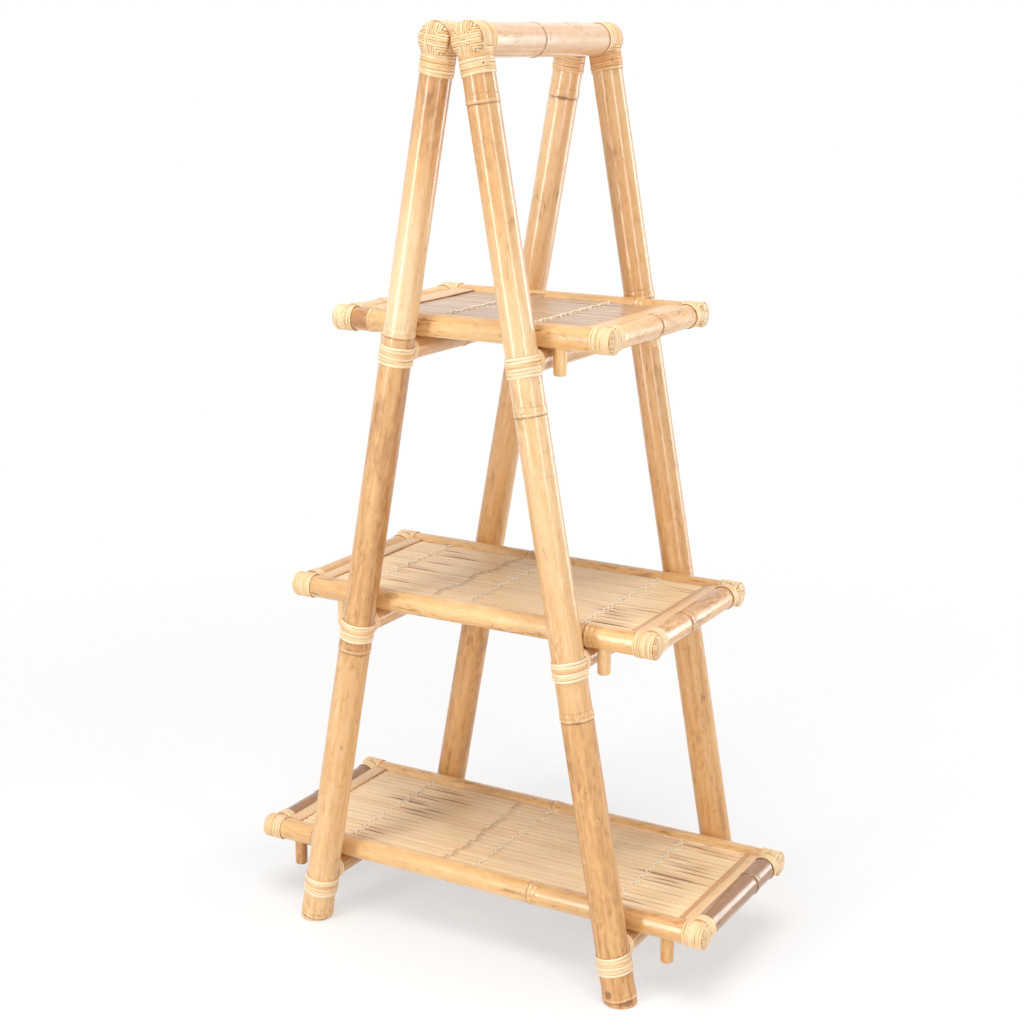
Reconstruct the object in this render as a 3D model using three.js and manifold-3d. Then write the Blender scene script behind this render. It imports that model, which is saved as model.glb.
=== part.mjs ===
// A folding plant ladder stand in bamboo and cane. Two leaning ladder frames meet at their
// top bars, and three loose trays lie across the rungs, each tray with pegs under its rails
// that stop the frames from sliding apart.
// Millimetres, +Z up, floor at z = 0, the right-hand frame at +X, the front at -Y.
import * as THREE from "three";
import { mergeVertices } from "three/addons/utils/BufferGeometryUtils.js";
import Module from "manifold-3d";

const wasm = await Module();
wasm.setup();

// ---------------------------------------------------------------- driving dimensions
const FIT = 0.3; // gap between two pieces that touch
const CANE_WALL = 1.5; // thickness of one layer of wound cane

const BAR_HEIGHT = 1361; // floor to the axes of the top bars
const FOOT_HALF_SPREAD = 272; // middle plane to a pole's axis, on the floor
const POLE_SPACING = 379; // axis of a front pole to axis of the back pole
const FOLD_RANGE = 17; // degrees that the right-hand frame swings in

const POLE_TOP_DIAMETER = 46;
const POLE_FOOT_DIAMETER = 49.5;
const BAR_DIAMETER = 48;
const RUNG_DIAMETER = 34;
const RAIL_DIAMETER = 35;
const PEG_DIAMETER = 19.5;
const TOGGLE_DIAMETER = 6;

const NODE_RISE = 1.2; // how far a culm's node ring stands out
const NODE_HEIGHT = 9; // length of the ring along the culm
const SADDLE_TRIM = 12; // top of a pole below the axis of the bar that it carries

const WRAP_BELOW_BAR = 23; // cane on the pole below the underside of the top bar
const BAR_OVERHANG = 19; // pole's axis to the bar's end
const BAR_RING = -28; // along Y from the middle of a top bar to its node ring
const BAR_END_ROUND = 6; // rounding of the bar's end
const BAR_CAP_DOME = 13; // length of the domed part of a woven cap on a bar
const BAR_CAP_WALL = 9; // bar's end to the top of that dome

const LASHING_HEIGHT = 28; // band round the pole at a rung
const LASHING_WALL = 1.9;
const KNOB_LENGTH = 8; // cane ring round the rung beside the pole
const KNOB_WALL = 2.2;

const PEG_REACH = 37; // length of a peg below the underside of its rail
const PEG_ROUND = 2.5; // rounding at a peg's lower end
const END_RAIL_INSET = 20; // tip of a long rail to the axis of the end rail
const CORNER_SLEEVE = 36; // cane on the end of a long rail
const CORNER_COLLAR = 12; // cane on the end rail beside it
const CORNER_WALL = 1.7;
const CORNER_CAP_DOME = 6; // length of the domed part of a woven cap on a rail
const CORNER_CAP_WALL = 4; // rail's end to the top of that dome
const RAIL_END_ROUND = 3; // rounding of a long rail's end

const MAT_DROP = 7.5; // top of the slats below the top of the rails
const SLAT_THICKNESS = 5;
const SLAT_GROOVE = 1.6; // depth and half-width of the valley between two slats
const BATTEN_WIDTH = 27; // split cane strip over the ends of the slats
const UPPER_BATTEN_WIDTH = 42;
const BATTEN_RISE = 4.5;
const CROSS_BATTEN_WIDTH = 14; // bearer under the slats, beneath a line of stitches
const CROSS_BATTEN_HEIGHT = 8;

const TOGGLE_PLACE = 62; // middle plane to the axis of a hinge toggle
const TOGGLE_HEAD = 26; // length of a toggle's cross head
const CORE_DIAMETER = 12; // hollow along a culm's axis round a toggle's head

const ROUND = 16; // sides of a pole or bar
const ROUND_SMALL = 12; // sides of a rung, rail or peg
const DOME_STEPS = 4; // facets from a cap's rim to its middle
const DOME_FULLNESS = 0.6; // under 1 gives a cap a flatter middle and a rounder rim

const UPPER_RUNG_HEIGHT = 928; // floor to the axes of the rungs under a tray
const MIDDLE_RUNG_HEIGHT = 502;
const LOWER_RUNG_HEIGHT = 75;
const UPPER_TRAY_LENGTH = 466; // over the woven caps
const MIDDLE_TRAY_LENGTH = 629;
const LOWER_TRAY_LENGTH = 790;
const UPPER_SIDE_GAP = 1.5; // between a long rail and the poles beside it
const MIDDLE_SIDE_GAP = 2.5;
const LOWER_SIDE_GAP = 7;
const UPPER_PEG_PLAY = 13; // between a rung and the peg beyond it, with the tray in the middle
const MIDDLE_PEG_PLAY = 18;
const LOWER_PEG_PLAY = 44;
const UPPER_TRAY_SLIP = -4.5; // how far along X a tray lies from the frames' middle plane
const MIDDLE_TRAY_SLIP = -11.5;
const LOWER_TRAY_SLIP = -7;
const UPPER_LASHING_DROP = 3.5; // middle of the cane band on the pole below the rung's axis
const MIDDLE_LASHING_DROP = 5;
const LOWER_LASHING_DROP = 14;

// The trays. A bearer lies under each line of stitches, at its place along X. The node rings
// have their places too: along X on the front and back rails, along Y on the two end rails and
// on the two rungs below.
const TRAYS = [
  {
    name: "upper", rungHeight: UPPER_RUNG_HEIGHT, length: UPPER_TRAY_LENGTH,
    sideGap: UPPER_SIDE_GAP, pegPlay: UPPER_PEG_PLAY, slip: UPPER_TRAY_SLIP,
    lashingDrop: UPPER_LASHING_DROP, slats: 17,
    battenWidth: UPPER_BATTEN_WIDTH, bearers: [-69, 81],
    rings: { front: [-169], back: [120], left: [-60], right: [5], leftRung: [-12], rightRung: [45] },
  },
  {
    name: "middle", rungHeight: MIDDLE_RUNG_HEIGHT, length: MIDDLE_TRAY_LENGTH,
    sideGap: MIDDLE_SIDE_GAP, pegPlay: MIDDLE_PEG_PLAY, slip: MIDDLE_TRAY_SLIP,
    lashingDrop: MIDDLE_LASHING_DROP, slats: 18,
    battenWidth: BATTEN_WIDTH, bearers: [-200, -12, 182],
    rings: { front: [-203, 202], back: [-57], left: [40], right: [-30], leftRung: [60], rightRung: [-70] },
  },
  {
    name: "lower", rungHeight: LOWER_RUNG_HEIGHT, length: LOWER_TRAY_LENGTH,
    sideGap: LOWER_SIDE_GAP, pegPlay: LOWER_PEG_PLAY, slip: LOWER_TRAY_SLIP,
    lashingDrop: LOWER_LASHING_DROP, slats: 19,
    battenWidth: BATTEN_WIDTH, bearers: [-238, -6, 233],
    rings: { front: [-295, 104], back: [-9], left: [-20], right: [50], leftRung: [-50], rightRung: [20] },
  },
];

// Heights of the node rings on each pole above the floor, foot first.
const POLE_RINGS = {
  left_front: [9, 466, 953],
  left_back: [44, 459, 875, 1278],
  right_front: [9, 426, 859, 1279],
  right_back: [9, 485, 974],
};

// ---------------------------------------------------------------- derived sizes
const poleTopRadius = POLE_TOP_DIAMETER / 2;
const poleFootRadius = POLE_FOOT_DIAMETER / 2;
const barRadius = BAR_DIAMETER / 2;
const rungRadius = RUNG_DIAMETER / 2;
const railRadius = RAIL_DIAMETER / 2;
const pegRadius = PEG_DIAMETER / 2;
const toggleRadius = TOGGLE_DIAMETER / 2;
const coreRadius = CORE_DIAMETER / 2;
const poleSide = POLE_SPACING / 2;
const barWrapRadius = Math.max(barRadius, poleTopRadius) + FIT + CANE_WALL;
const barSide = barWrapRadius + FIT / 2;
const barHalfLength = poleSide + BAR_OVERHANG;
const lean = Math.atan((FOOT_HALF_SPREAD - barSide) / BAR_HEIGHT);
const cornerRadius = railRadius + FIT + CORNER_WALL;
const foldRange = THREE.MathUtils.degToRad(FOLD_RANGE);

// ---------------------------------------------------------------- finishes
function finish(color, roughness) {
  return new THREE.MeshStandardMaterial({ color, roughness, metalness: 0 });
}
const poleBamboo = finish("#d9a565", 0.28);
const trayBamboo = finish("#d6a262", 0.32);
const slatBamboo = finish("#dcb483", 0.45);
const wovenCane = finish("#ecd2a0", 0.5);
const hardwood = finish("#b98a55", 0.6);

// ---------------------------------------------------------------- solids
// A closed geometry as a solid that can be joined and cut.
function solid(geometry) {
  const bare = geometry.clone();
  bare.deleteAttribute("normal");
  bare.deleteAttribute("uv");
  const merged = mergeVertices(bare, 1e-4);
  return new wasm.Manifold(
    new wasm.Mesh({
      numProp: 3,
      vertProperties: merged.attributes.position.array,
      triVerts: new Uint32Array(merged.index.array),
    }),
  );
}

// A solid as a named, dressed mesh.
function mesh(name, body, material) {
  const made = body.getMesh();
  const geometry = new THREE.BufferGeometry();
  geometry.setAttribute("position", new THREE.BufferAttribute(made.vertProperties, 3));
  geometry.setIndex(new THREE.BufferAttribute(made.triVerts, 1));
  const flat = geometry.toNonIndexed();
  flat.computeVertexNormals();
  const result = new THREE.Mesh(flat, material);
  result.name = name;
  return result;
}

const turnTo = {
  x: new THREE.Matrix4().makeBasis(
    new THREE.Vector3(0, 1, 0),
    new THREE.Vector3(1, 0, 0),
    new THREE.Vector3(0, 0, -1),
  ),
  y: new THREE.Matrix4(),
  z: new THREE.Matrix4().makeRotationX(Math.PI / 2),
};

// A turned solid. Each profile point is [radius, distance along the axis], listed in the
// axis direction; the axis starts at origin.
function turned(profile, axis, origin, sides) {
  const points = profile.map(([radius, along]) => new THREE.Vector2(radius, along));
  const geometry = new THREE.LatheGeometry(points, sides);
  geometry.applyMatrix4(turnTo[axis]);
  geometry.translate(...origin);
  return solid(geometry);
}

// A plain round rod from one distance along the axis to another.
function rod(radius, from, to, axis, origin, sides) {
  const profile = [
    [0, from],
    [radius, from],
    [radius, to],
    [0, to],
  ];
  return turned(profile, axis, origin, sides);
}

// A bamboo culm: a rod with a raised ring at each of its nodes and, where it is cut off in
// the open, a rounded end. radiusAt gives its radius at a place along it.
function culm(radiusAt, from, to, rings, axis, origin, sides, round = 0) {
  const profile = [[0, from]];
  if (round > 0) profile.push([radiusAt(from) - round, from]);
  profile.push([radiusAt(from), from + round]);
  for (const ring of rings) {
    profile.push([radiusAt(ring), ring - NODE_HEIGHT / 2]);
    profile.push([radiusAt(ring) + NODE_RISE, ring]);
    profile.push([radiusAt(ring), ring + NODE_HEIGHT / 2]);
  }
  profile.push([radiusAt(to), to - round]);
  if (round > 0) profile.push([radiusAt(to) - round, to]);
  profile.push([0, to]);
  return turned(profile, axis, origin, sides);
}

// The radius of a culm that is equally thick all along.
function even(radius) {
  return () => radius;
}

// The node rings that lie wholly between two places on a culm.
function ringsBetween(rings, from, to) {
  return rings.filter((ring) => ring - NODE_HEIGHT / 2 > from && ring + NODE_HEIGHT / 2 < to);
}

// A wound sleeve's outer shape with a domed woven cap on its far end.
function cappedSleeve(radius, from, end, dome, axis, origin, sides) {
  const profile = [
    [0, from],
    [radius, from],
  ];
  for (let step = 0; step < DOME_STEPS; step += 1) {
    const angle = (step / DOME_STEPS) * (Math.PI / 2);
    const share = Math.cos(angle) ** DOME_FULLNESS;
    profile.push([radius * share, end - dome + dome * Math.sin(angle)]);
  }
  profile.push([0, end]);
  return turned(profile, axis, origin, sides);
}

function box(size, centre) {
  const geometry = new THREE.BoxGeometry(...size);
  geometry.translate(...centre);
  return solid(geometry);
}

// ---------------------------------------------------------------- ladder frames
// A frame is drawn flat in its own YZ plane, with the top bar's axis at the origin and
// the poles running down -Z. Its group then leans it outwards.
function distanceDown(height) {
  return (BAR_HEIGHT - height) / Math.cos(lean);
}

// A pole's radius at a place on its axis: it is a little thicker at its foot.
function poleRadiusAt(place) {
  const share = -place / distanceDown(0);
  return poleTopRadius + (poleFootRadius - poleTopRadius) * share;
}

function frameGroup(side) {
  const group = new THREE.Group();
  group.position.set(side * barSide, 0, BAR_HEIGHT);
  group.rotation.y = -side * lean;
  group.updateMatrixWorld(true);
  return group;
}

// Brings a solid that is drawn in the stand's own axes into a frame's axes.
function intoFrame(body, group) {
  const inverse = group.matrixWorld.clone().invert();
  return body.transform(inverse.elements);
}

// A bar of the given radius. A fuller one reaches further too.
function barRod(radius) {
  const reach = barHalfLength + radius - barRadius;
  return culm(even(radius), -reach, reach, [BAR_RING], "y", [0, 0, 0], ROUND, BAR_END_ROUND);
}

// A pole with its rings, from below the floor up to the place given, thicker all round by
// the extra.
function poleRod(extra, corner, end, top) {
  const floor = -distanceDown(0);
  const places = POLE_RINGS[corner].map((height) => -distanceDown(height));
  const rings = ringsBetween(places, floor, -(barRadius + WRAP_BELOW_BAR));
  const radiusAt = (place) => poleRadiusAt(place) + extra;
  const origin = [0, end * poleSide, 0];
  return culm(radiusAt, floor - poleFootRadius, top, rings, "z", origin, ROUND);
}

// The inner end of the cane knob on a rung, from the middle of the rung.
function knobStart(tray) {
  return poleSide - poleRadiusAt(-distanceDown(tray.rungHeight)) - KNOB_LENGTH;
}

function rungRod(radius, tray, sideName) {
  const bare = knobStart(tray);
  const rings = ringsBetween(tray.rings[sideName + "Rung"], -bare, bare);
  const origin = [0, 0, -distanceDown(tray.rungHeight)];
  return culm(even(radius), -poleSide, poleSide, rings, "y", origin, ROUND_SMALL);
}

function pole(group, corner, end) {
  const depth = 4 * POLE_FOOT_DIAMETER;
  const ground = box([2 * BAR_HEIGHT, 2 * POLE_SPACING, depth], [0, 0, -depth / 2]);
  return poleRod(0, corner, end, -SADDLE_TRIM)
    .subtract(barRod(barRadius + FIT))
    .subtract(intoFrame(ground, group));
}

// The slot that a toggle's stem sweeps in the left-hand bar while the frames fold.
function toggleSweep(place) {
  const half = toggleRadius + FIT;
  const reach = 2 * barRadius;
  const axis = new THREE.Vector2();
  const outline = new THREE.Shape([
    new THREE.Vector2(0, half),
    new THREE.Vector2(reach, half),
    new THREE.Vector2(reach, 0).rotateAround(axis, -foldRange / 2),
    new THREE.Vector2(reach, -half).rotateAround(axis, -foldRange),
    new THREE.Vector2(0, -half).rotateAround(axis, -foldRange),
  ]);
  const geometry = new THREE.ExtrudeGeometry(outline, { depth: 2 * half, bevelEnabled: false });
  geometry.rotateX(Math.PI / 2);
  geometry.translate(-barSide, place + half, BAR_HEIGHT);
  return solid(geometry);
}

// The room that one toggle needs in the bar of a frame.
function toggleRoom(side, place) {
  const origin = [-barSide, place, BAR_HEIGHT];
  if (side > 0) return rod(toggleRadius + FIT, 0, 2 * barSide, "x", origin, ROUND_SMALL);
  const half = TOGGLE_HEAD / 2 + FIT;
  const core = rod(coreRadius + FIT, -half, half, "y", origin, ROUND_SMALL);
  return core.add(toggleSweep(place));
}

function topBar(group, side) {
  let bar = barRod(barRadius);
  for (const end of [-1, 1]) {
    bar = bar.subtract(intoFrame(toggleRoom(side, end * TOGGLE_PLACE), group));
  }
  return bar;
}

function rung(tray, sideName) {
  return rungRod(rungRadius, tray, sideName)
    .subtract(poleRod(FIT, sideName + "_front", -1, 0))
    .subtract(poleRod(FIT, sideName + "_back", 1, 0));
}

// Cane wound over a bar's end and down the top of its pole, with a woven cap.
function topBinding(corner, end) {
  const start = poleSide - poleTopRadius;
  const wound = barRadius + FIT + CANE_WALL;
  const capEnd = barHalfLength + BAR_CAP_WALL;
  const sleeve = cappedSleeve(wound, start, capEnd, BAR_CAP_DOME, "y", [0, 0, 0], ROUND);
  const low = -(barRadius + WRAP_BELOW_BAR);
  const wrapRadius = poleRadiusAt(low) + FIT + CANE_WALL;
  const wrap = rod(wrapRadius, low, 0, "z", [0, end * poleSide, 0], ROUND);
  return (end > 0 ? sleeve : sleeve.mirror([0, 1, 0]))
    .add(wrap)
    .subtract(barRod(barRadius + FIT))
    .subtract(poleRod(FIT, corner, end, 0));
}

// Cane round the pole at a rung, with a ring of cane round the rung beside it.
function rungLashing(tray, sideName, corner, end) {
  const down = distanceDown(tray.rungHeight);
  const middle = -down - tray.lashingDrop;
  const band = rod(
    poleRadiusAt(middle) + FIT + LASHING_WALL,
    middle - LASHING_HEIGHT / 2, middle + LASHING_HEIGHT / 2, "z", [0, end * poleSide, 0], ROUND,
  );
  const knobRadius = rungRadius + FIT + KNOB_WALL;
  const knob = rod(knobRadius, knobStart(tray), poleSide, "y", [0, 0, -down], ROUND_SMALL);
  return band
    .add(end > 0 ? knob : knob.mirror([0, 1, 0]))
    .subtract(poleRod(FIT, corner, end, 0))
    .subtract(rungRod(rungRadius + FIT, tray, sideName));
}

function ladderFrame(side, sideName) {
  const group = frameGroup(side);
  for (const [end, endName] of [[-1, "front"], [1, "back"]]) {
    const corner = sideName + "_" + endName;
    group.add(mesh(corner + "_pole", pole(group, corner, end), poleBamboo));
    group.add(mesh(corner + "_top_binding", topBinding(corner, end), wovenCane));
    for (const tray of TRAYS) {
      const lashing = rungLashing(tray, sideName, corner, end);
      group.add(mesh(corner + "_" + tray.name + "_lashing", lashing, wovenCane));
    }
  }
  group.add(mesh(sideName + "_top_bar", topBar(group, side), poleBamboo));
  for (const tray of TRAYS) {
    group.add(mesh(sideName + "_" + tray.name + "_rung", rung(tray, sideName), poleBamboo));
  }
  return group;
}

// A wooden tie between the top bars: its stem is glued into the right-hand bar, and its
// cross head turns in the hollow of the left-hand bar.
function hingeToggle() {
  const stem = rod(toggleRadius, 0, 2 * barSide - FIT, "x", [0, 0, 0], ROUND_SMALL);
  const head = rod(coreRadius, -TOGGLE_HEAD / 2, TOGGLE_HEAD / 2, "y", [0, 0, 0], ROUND_SMALL);
  return stem.add(head);
}

function hingeToggles() {
  const group = new THREE.Group();
  group.position.set(-barSide, 0, BAR_HEIGHT);
  for (const [end, endName] of [[-1, "front"], [1, "back"]]) {
    const toggle = mesh(endName + "_hinge_toggle", hingeToggle(), hardwood);
    toggle.position.y = end * TOGGLE_PLACE;
    group.add(toggle);
  }
  return group;
}

// ---------------------------------------------------------------- trays
// A tray is drawn round its own middle, with the axes of its rails at z = 0.
function traySizes(tray) {
  const rungPlace = barSide + (BAR_HEIGHT - tray.rungHeight) * Math.tan(lean);
  const height = tray.rungHeight + rungRadius + FIT + railRadius;
  const poleRadius = poleRadiusAt(-distanceDown(height));
  const sleeveStart = tray.length / 2 - CORNER_SLEEVE;
  // A peg stands beyond its rung, and always short of the cane on the tray's corner.
  const beyondRung = rungPlace + rungRadius + tray.pegPlay + pegRadius;
  const pegPlace = Math.min(beyondRung, sleeveStart - FIT - pegRadius);
  return {
    rungLeft: -rungPlace - tray.slip,
    rungRight: rungPlace - tray.slip,
    railSide: poleSide - poleRadius - tray.sideGap - railRadius,
    pegPlace,
    sleeveStart,
    tip: tray.length / 2,
    railEnd: tray.length / 2 - CORNER_CAP_WALL,
    endRailPlace: tray.length / 2 - END_RAIL_INSET,
    height,
  };
}

// A long rail of the given radius, rings and all. A fuller one reaches further too.
function longRailRod(sizes, radius, side, tray) {
  const reach = sizes.railEnd + radius - railRadius;
  const bare = sizes.sleeveStart;
  const rings = ringsBetween(side > 0 ? tray.rings.back : tray.rings.front, -bare, bare);
  const origin = [0, side * sizes.railSide, 0];
  return culm(even(radius), -reach, reach, rings, "x", origin, ROUND_SMALL, RAIL_END_ROUND);
}

function endRailRod(sizes, radius, side, tray) {
  const bare = sizes.railSide - railRadius - CORNER_COLLAR;
  const rings = ringsBetween(side > 0 ? tray.rings.right : tray.rings.left, -bare, bare);
  const place = [side * sizes.endRailPlace, 0, 0];
  return culm(even(radius), -sizes.railSide, sizes.railSide, rings, "y", place, ROUND_SMALL);
}

function peg(sizes, side, place) {
  const low = -(railRadius + PEG_REACH);
  const profile = [
    [0, low],
    [pegRadius - PEG_ROUND, low],
    [pegRadius, low + PEG_ROUND],
    [pegRadius, 0],
    [0, 0],
  ];
  return turned(profile, "z", [place, side * sizes.railSide, 0], ROUND_SMALL);
}

// A rung seen from the tray, a little fuller, to pare a node ring that lies on it.
function rungSeat(place) {
  const below = -(railRadius + FIT + rungRadius);
  return rod(rungRadius + FIT / 2, -poleSide, poleSide, "y", [place, 0, below], ROUND_SMALL);
}

function longRail(sizes, side, tray) {
  return longRailRod(sizes, railRadius, side, tray)
    .subtract(rungSeat(sizes.rungLeft))
    .subtract(rungSeat(sizes.rungRight))
    .add(peg(sizes, side, -sizes.pegPlace))
    .add(peg(sizes, side, sizes.pegPlace));
}

function endRail(sizes, side, tray) {
  return endRailRod(sizes, railRadius, side, tray)
    .subtract(longRailRod(sizes, railRadius + FIT, -1, tray))
    .subtract(longRailRod(sizes, railRadius + FIT, 1, tray));
}

function cornerCollar(sizes, radius, length) {
  const from = sizes.railSide - railRadius - length;
  return rod(radius, from, sizes.railSide, "y", [sizes.endRailPlace, 0, 0], ROUND_SMALL);
}

function cornerSleeve(sizes, radius) {
  const origin = [0, sizes.railSide, 0];
  return cappedSleeve(
    radius, sizes.sleeveStart, sizes.tip, CORNER_CAP_DOME, "x", origin, ROUND_SMALL,
  );
}

// Cane wound over a long rail's end and the end rail beside it, with a woven cap.
function cornerBinding(sizes, side, end, tray) {
  const wound = cornerSleeve(sizes, cornerRadius)
    .add(cornerCollar(sizes, cornerRadius, CORNER_COLLAR))
    .subtract(longRailRod(sizes, railRadius + FIT, 1, tray))
    .subtract(endRailRod(sizes, railRadius + FIT, 1, tray));
  const turnedRound = side > 0 ? wound : wound.mirror([1, 0, 0]);
  return end > 0 ? turnedRound : turnedRound.mirror([0, 1, 0]);
}

// Outline across the slats: a flat underside and a shallow valley between neighbours.
function slatOutline(half, count, bottom, top) {
  const outline = new THREE.Shape();
  const pitch = (2 * half) / count;
  outline.moveTo(half, bottom);
  outline.lineTo(half, top);
  for (let slat = count - 1; slat > 0; slat -= 1) {
    const valley = -half + slat * pitch;
    outline.lineTo(valley + SLAT_GROOVE, top);
    outline.lineTo(valley, top - SLAT_GROOVE);
    outline.lineTo(valley - SLAT_GROOVE, top);
  }
  outline.lineTo(-half, top);
  outline.lineTo(-half, bottom);
  outline.closePath();
  return outline;
}

function slats(sizes, count, top) {
  const halfWidth = sizes.railSide - railRadius / 2;
  const halfLength = sizes.endRailPlace - railRadius / 2;
  const outline = slatOutline(halfWidth, count, top - SLAT_THICKNESS, top);
  const geometry = new THREE.ExtrudeGeometry(outline, { depth: 2 * halfLength, bevelEnabled: false });
  geometry.rotateX(Math.PI / 2);
  geometry.rotateZ(Math.PI / 2);
  geometry.translate(-halfLength, 0, 0);
  return solid(geometry);
}

// The strip of split cane, rounded on top, that holds the slats' ends down.
function endBatten(sizes, side, width, top) {
  const halfWidth = width / 2;
  const outline = new THREE.Shape();
  outline.moveTo(-halfWidth, -SLAT_GROOVE);
  outline.lineTo(halfWidth, -SLAT_GROOVE);
  outline.lineTo(halfWidth, 1);
  outline.lineTo(halfWidth / 2, BATTEN_RISE * 0.85);
  outline.lineTo(0, BATTEN_RISE);
  outline.lineTo(-halfWidth / 2, BATTEN_RISE * 0.85);
  outline.lineTo(-halfWidth, 1);
  outline.closePath();
  const reach = sizes.railSide - railRadius / 2;
  const geometry = new THREE.ExtrudeGeometry(outline, { depth: 2 * reach, bevelEnabled: false });
  geometry.rotateX(Math.PI / 2);
  const place = sizes.endRailPlace - railRadius / 2 - halfWidth;
  geometry.translate(side * place, reach, top);
  return solid(geometry);
}

function mat(sizes, tray) {
  const top = railRadius - MAT_DROP;
  let body = slats(sizes, tray.slats, top);
  const bearerTop = top - SLAT_THICKNESS + 1;
  for (const place of tray.bearers) {
    const size = [CROSS_BATTEN_WIDTH, 2 * sizes.railSide, CROSS_BATTEN_HEIGHT];
    body = body.add(box(size, [place, 0, bearerTop - CROSS_BATTEN_HEIGHT / 2]));
  }
  for (const side of [-1, 1]) {
    body = body.add(endBatten(sizes, side, tray.battenWidth, top));
  }
  for (const side of [-1, 1]) {
    body = body.subtract(longRailRod(sizes, railRadius + FIT, side, tray));
    body = body.subtract(endRailRod(sizes, railRadius + FIT, side, tray));
  }
  return clearOfCorners(body, sizes);
}

// Cuts the four corners of a mat clear of the cane wound there.
function clearOfCorners(body, sizes) {
  const cutter = cornerSleeve(sizes, cornerRadius + FIT)
    .add(cornerCollar(sizes, cornerRadius + FIT, CORNER_COLLAR + FIT));
  let clear = body;
  for (const cut of [cutter, cutter.mirror([1, 0, 0])]) {
    clear = clear.subtract(cut).subtract(cut.mirror([0, 1, 0]));
  }
  return clear;
}

function trayGroup(tray) {
  const sizes = traySizes(tray);
  const group = new THREE.Group();
  group.position.set(tray.slip, 0, sizes.height);
  const prefix = tray.name + "_tray_";
  for (const [end, endName] of [[-1, "front"], [1, "back"]]) {
    group.add(mesh(prefix + endName + "_rail", longRail(sizes, end, tray), trayBamboo));
    for (const [side, sideName] of [[-1, "left"], [1, "right"]]) {
      const name = prefix + endName + "_" + sideName + "_binding";
      group.add(mesh(name, cornerBinding(sizes, side, end, tray), wovenCane));
    }
  }
  for (const [side, sideName] of [[-1, "left"], [1, "right"]]) {
    group.add(mesh(prefix + sideName + "_rail", endRail(sizes, side, tray), trayBamboo));
  }
  group.add(mesh(prefix + "mat", mat(sizes, tray), slatBamboo));
  return group;
}

// ---------------------------------------------------------------- the stand
// The origin is on the floor under the middle of the lower tray, the widest piece.
const frames = new THREE.Group();
frames.add(ladderFrame(-1, "left"));
frames.add(ladderFrame(1, "right"));
frames.add(hingeToggles());
for (const tray of TRAYS) {
  frames.add(trayGroup(tray));
}
frames.position.x = -LOWER_TRAY_SLIP;

const stand = new THREE.Group();
stand.add(frames);

export default stand;
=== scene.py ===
"""A folding bamboo plant ladder stand: fine surfaces and finishes over its solids, in a plain studio."""

import logging
import math
from collections.abc import Callable, Sequence
from dataclasses import dataclass, field
from enum import Enum

import bpy
import numpy as np
from mathutils import Matrix, Vector


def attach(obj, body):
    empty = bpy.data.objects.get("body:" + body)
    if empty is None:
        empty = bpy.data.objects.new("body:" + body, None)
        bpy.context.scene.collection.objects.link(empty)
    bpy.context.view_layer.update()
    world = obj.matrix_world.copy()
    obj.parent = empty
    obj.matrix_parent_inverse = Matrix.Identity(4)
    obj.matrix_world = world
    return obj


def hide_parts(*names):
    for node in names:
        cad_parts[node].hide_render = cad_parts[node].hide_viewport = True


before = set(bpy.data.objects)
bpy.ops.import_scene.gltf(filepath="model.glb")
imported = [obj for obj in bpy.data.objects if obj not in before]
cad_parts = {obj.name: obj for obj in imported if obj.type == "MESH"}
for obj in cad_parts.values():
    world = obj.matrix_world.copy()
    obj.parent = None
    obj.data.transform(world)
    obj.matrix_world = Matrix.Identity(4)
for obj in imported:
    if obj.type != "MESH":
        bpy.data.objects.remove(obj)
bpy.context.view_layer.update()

log = logging.getLogger("plant_stand")
MM = 0.001


# ---------------------------------------------------------------- sizes
class Side(Enum):
    """The two ladder frames, and the two ends of a tray."""

    LEFT = -1
    RIGHT = 1


class End(Enum):
    """The front and the back of the stand."""

    FRONT = -1
    BACK = 1


def label(choice: Side | End) -> str:
    """The word that a side or an end has in a piece's name."""
    return choice.name.lower()


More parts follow.
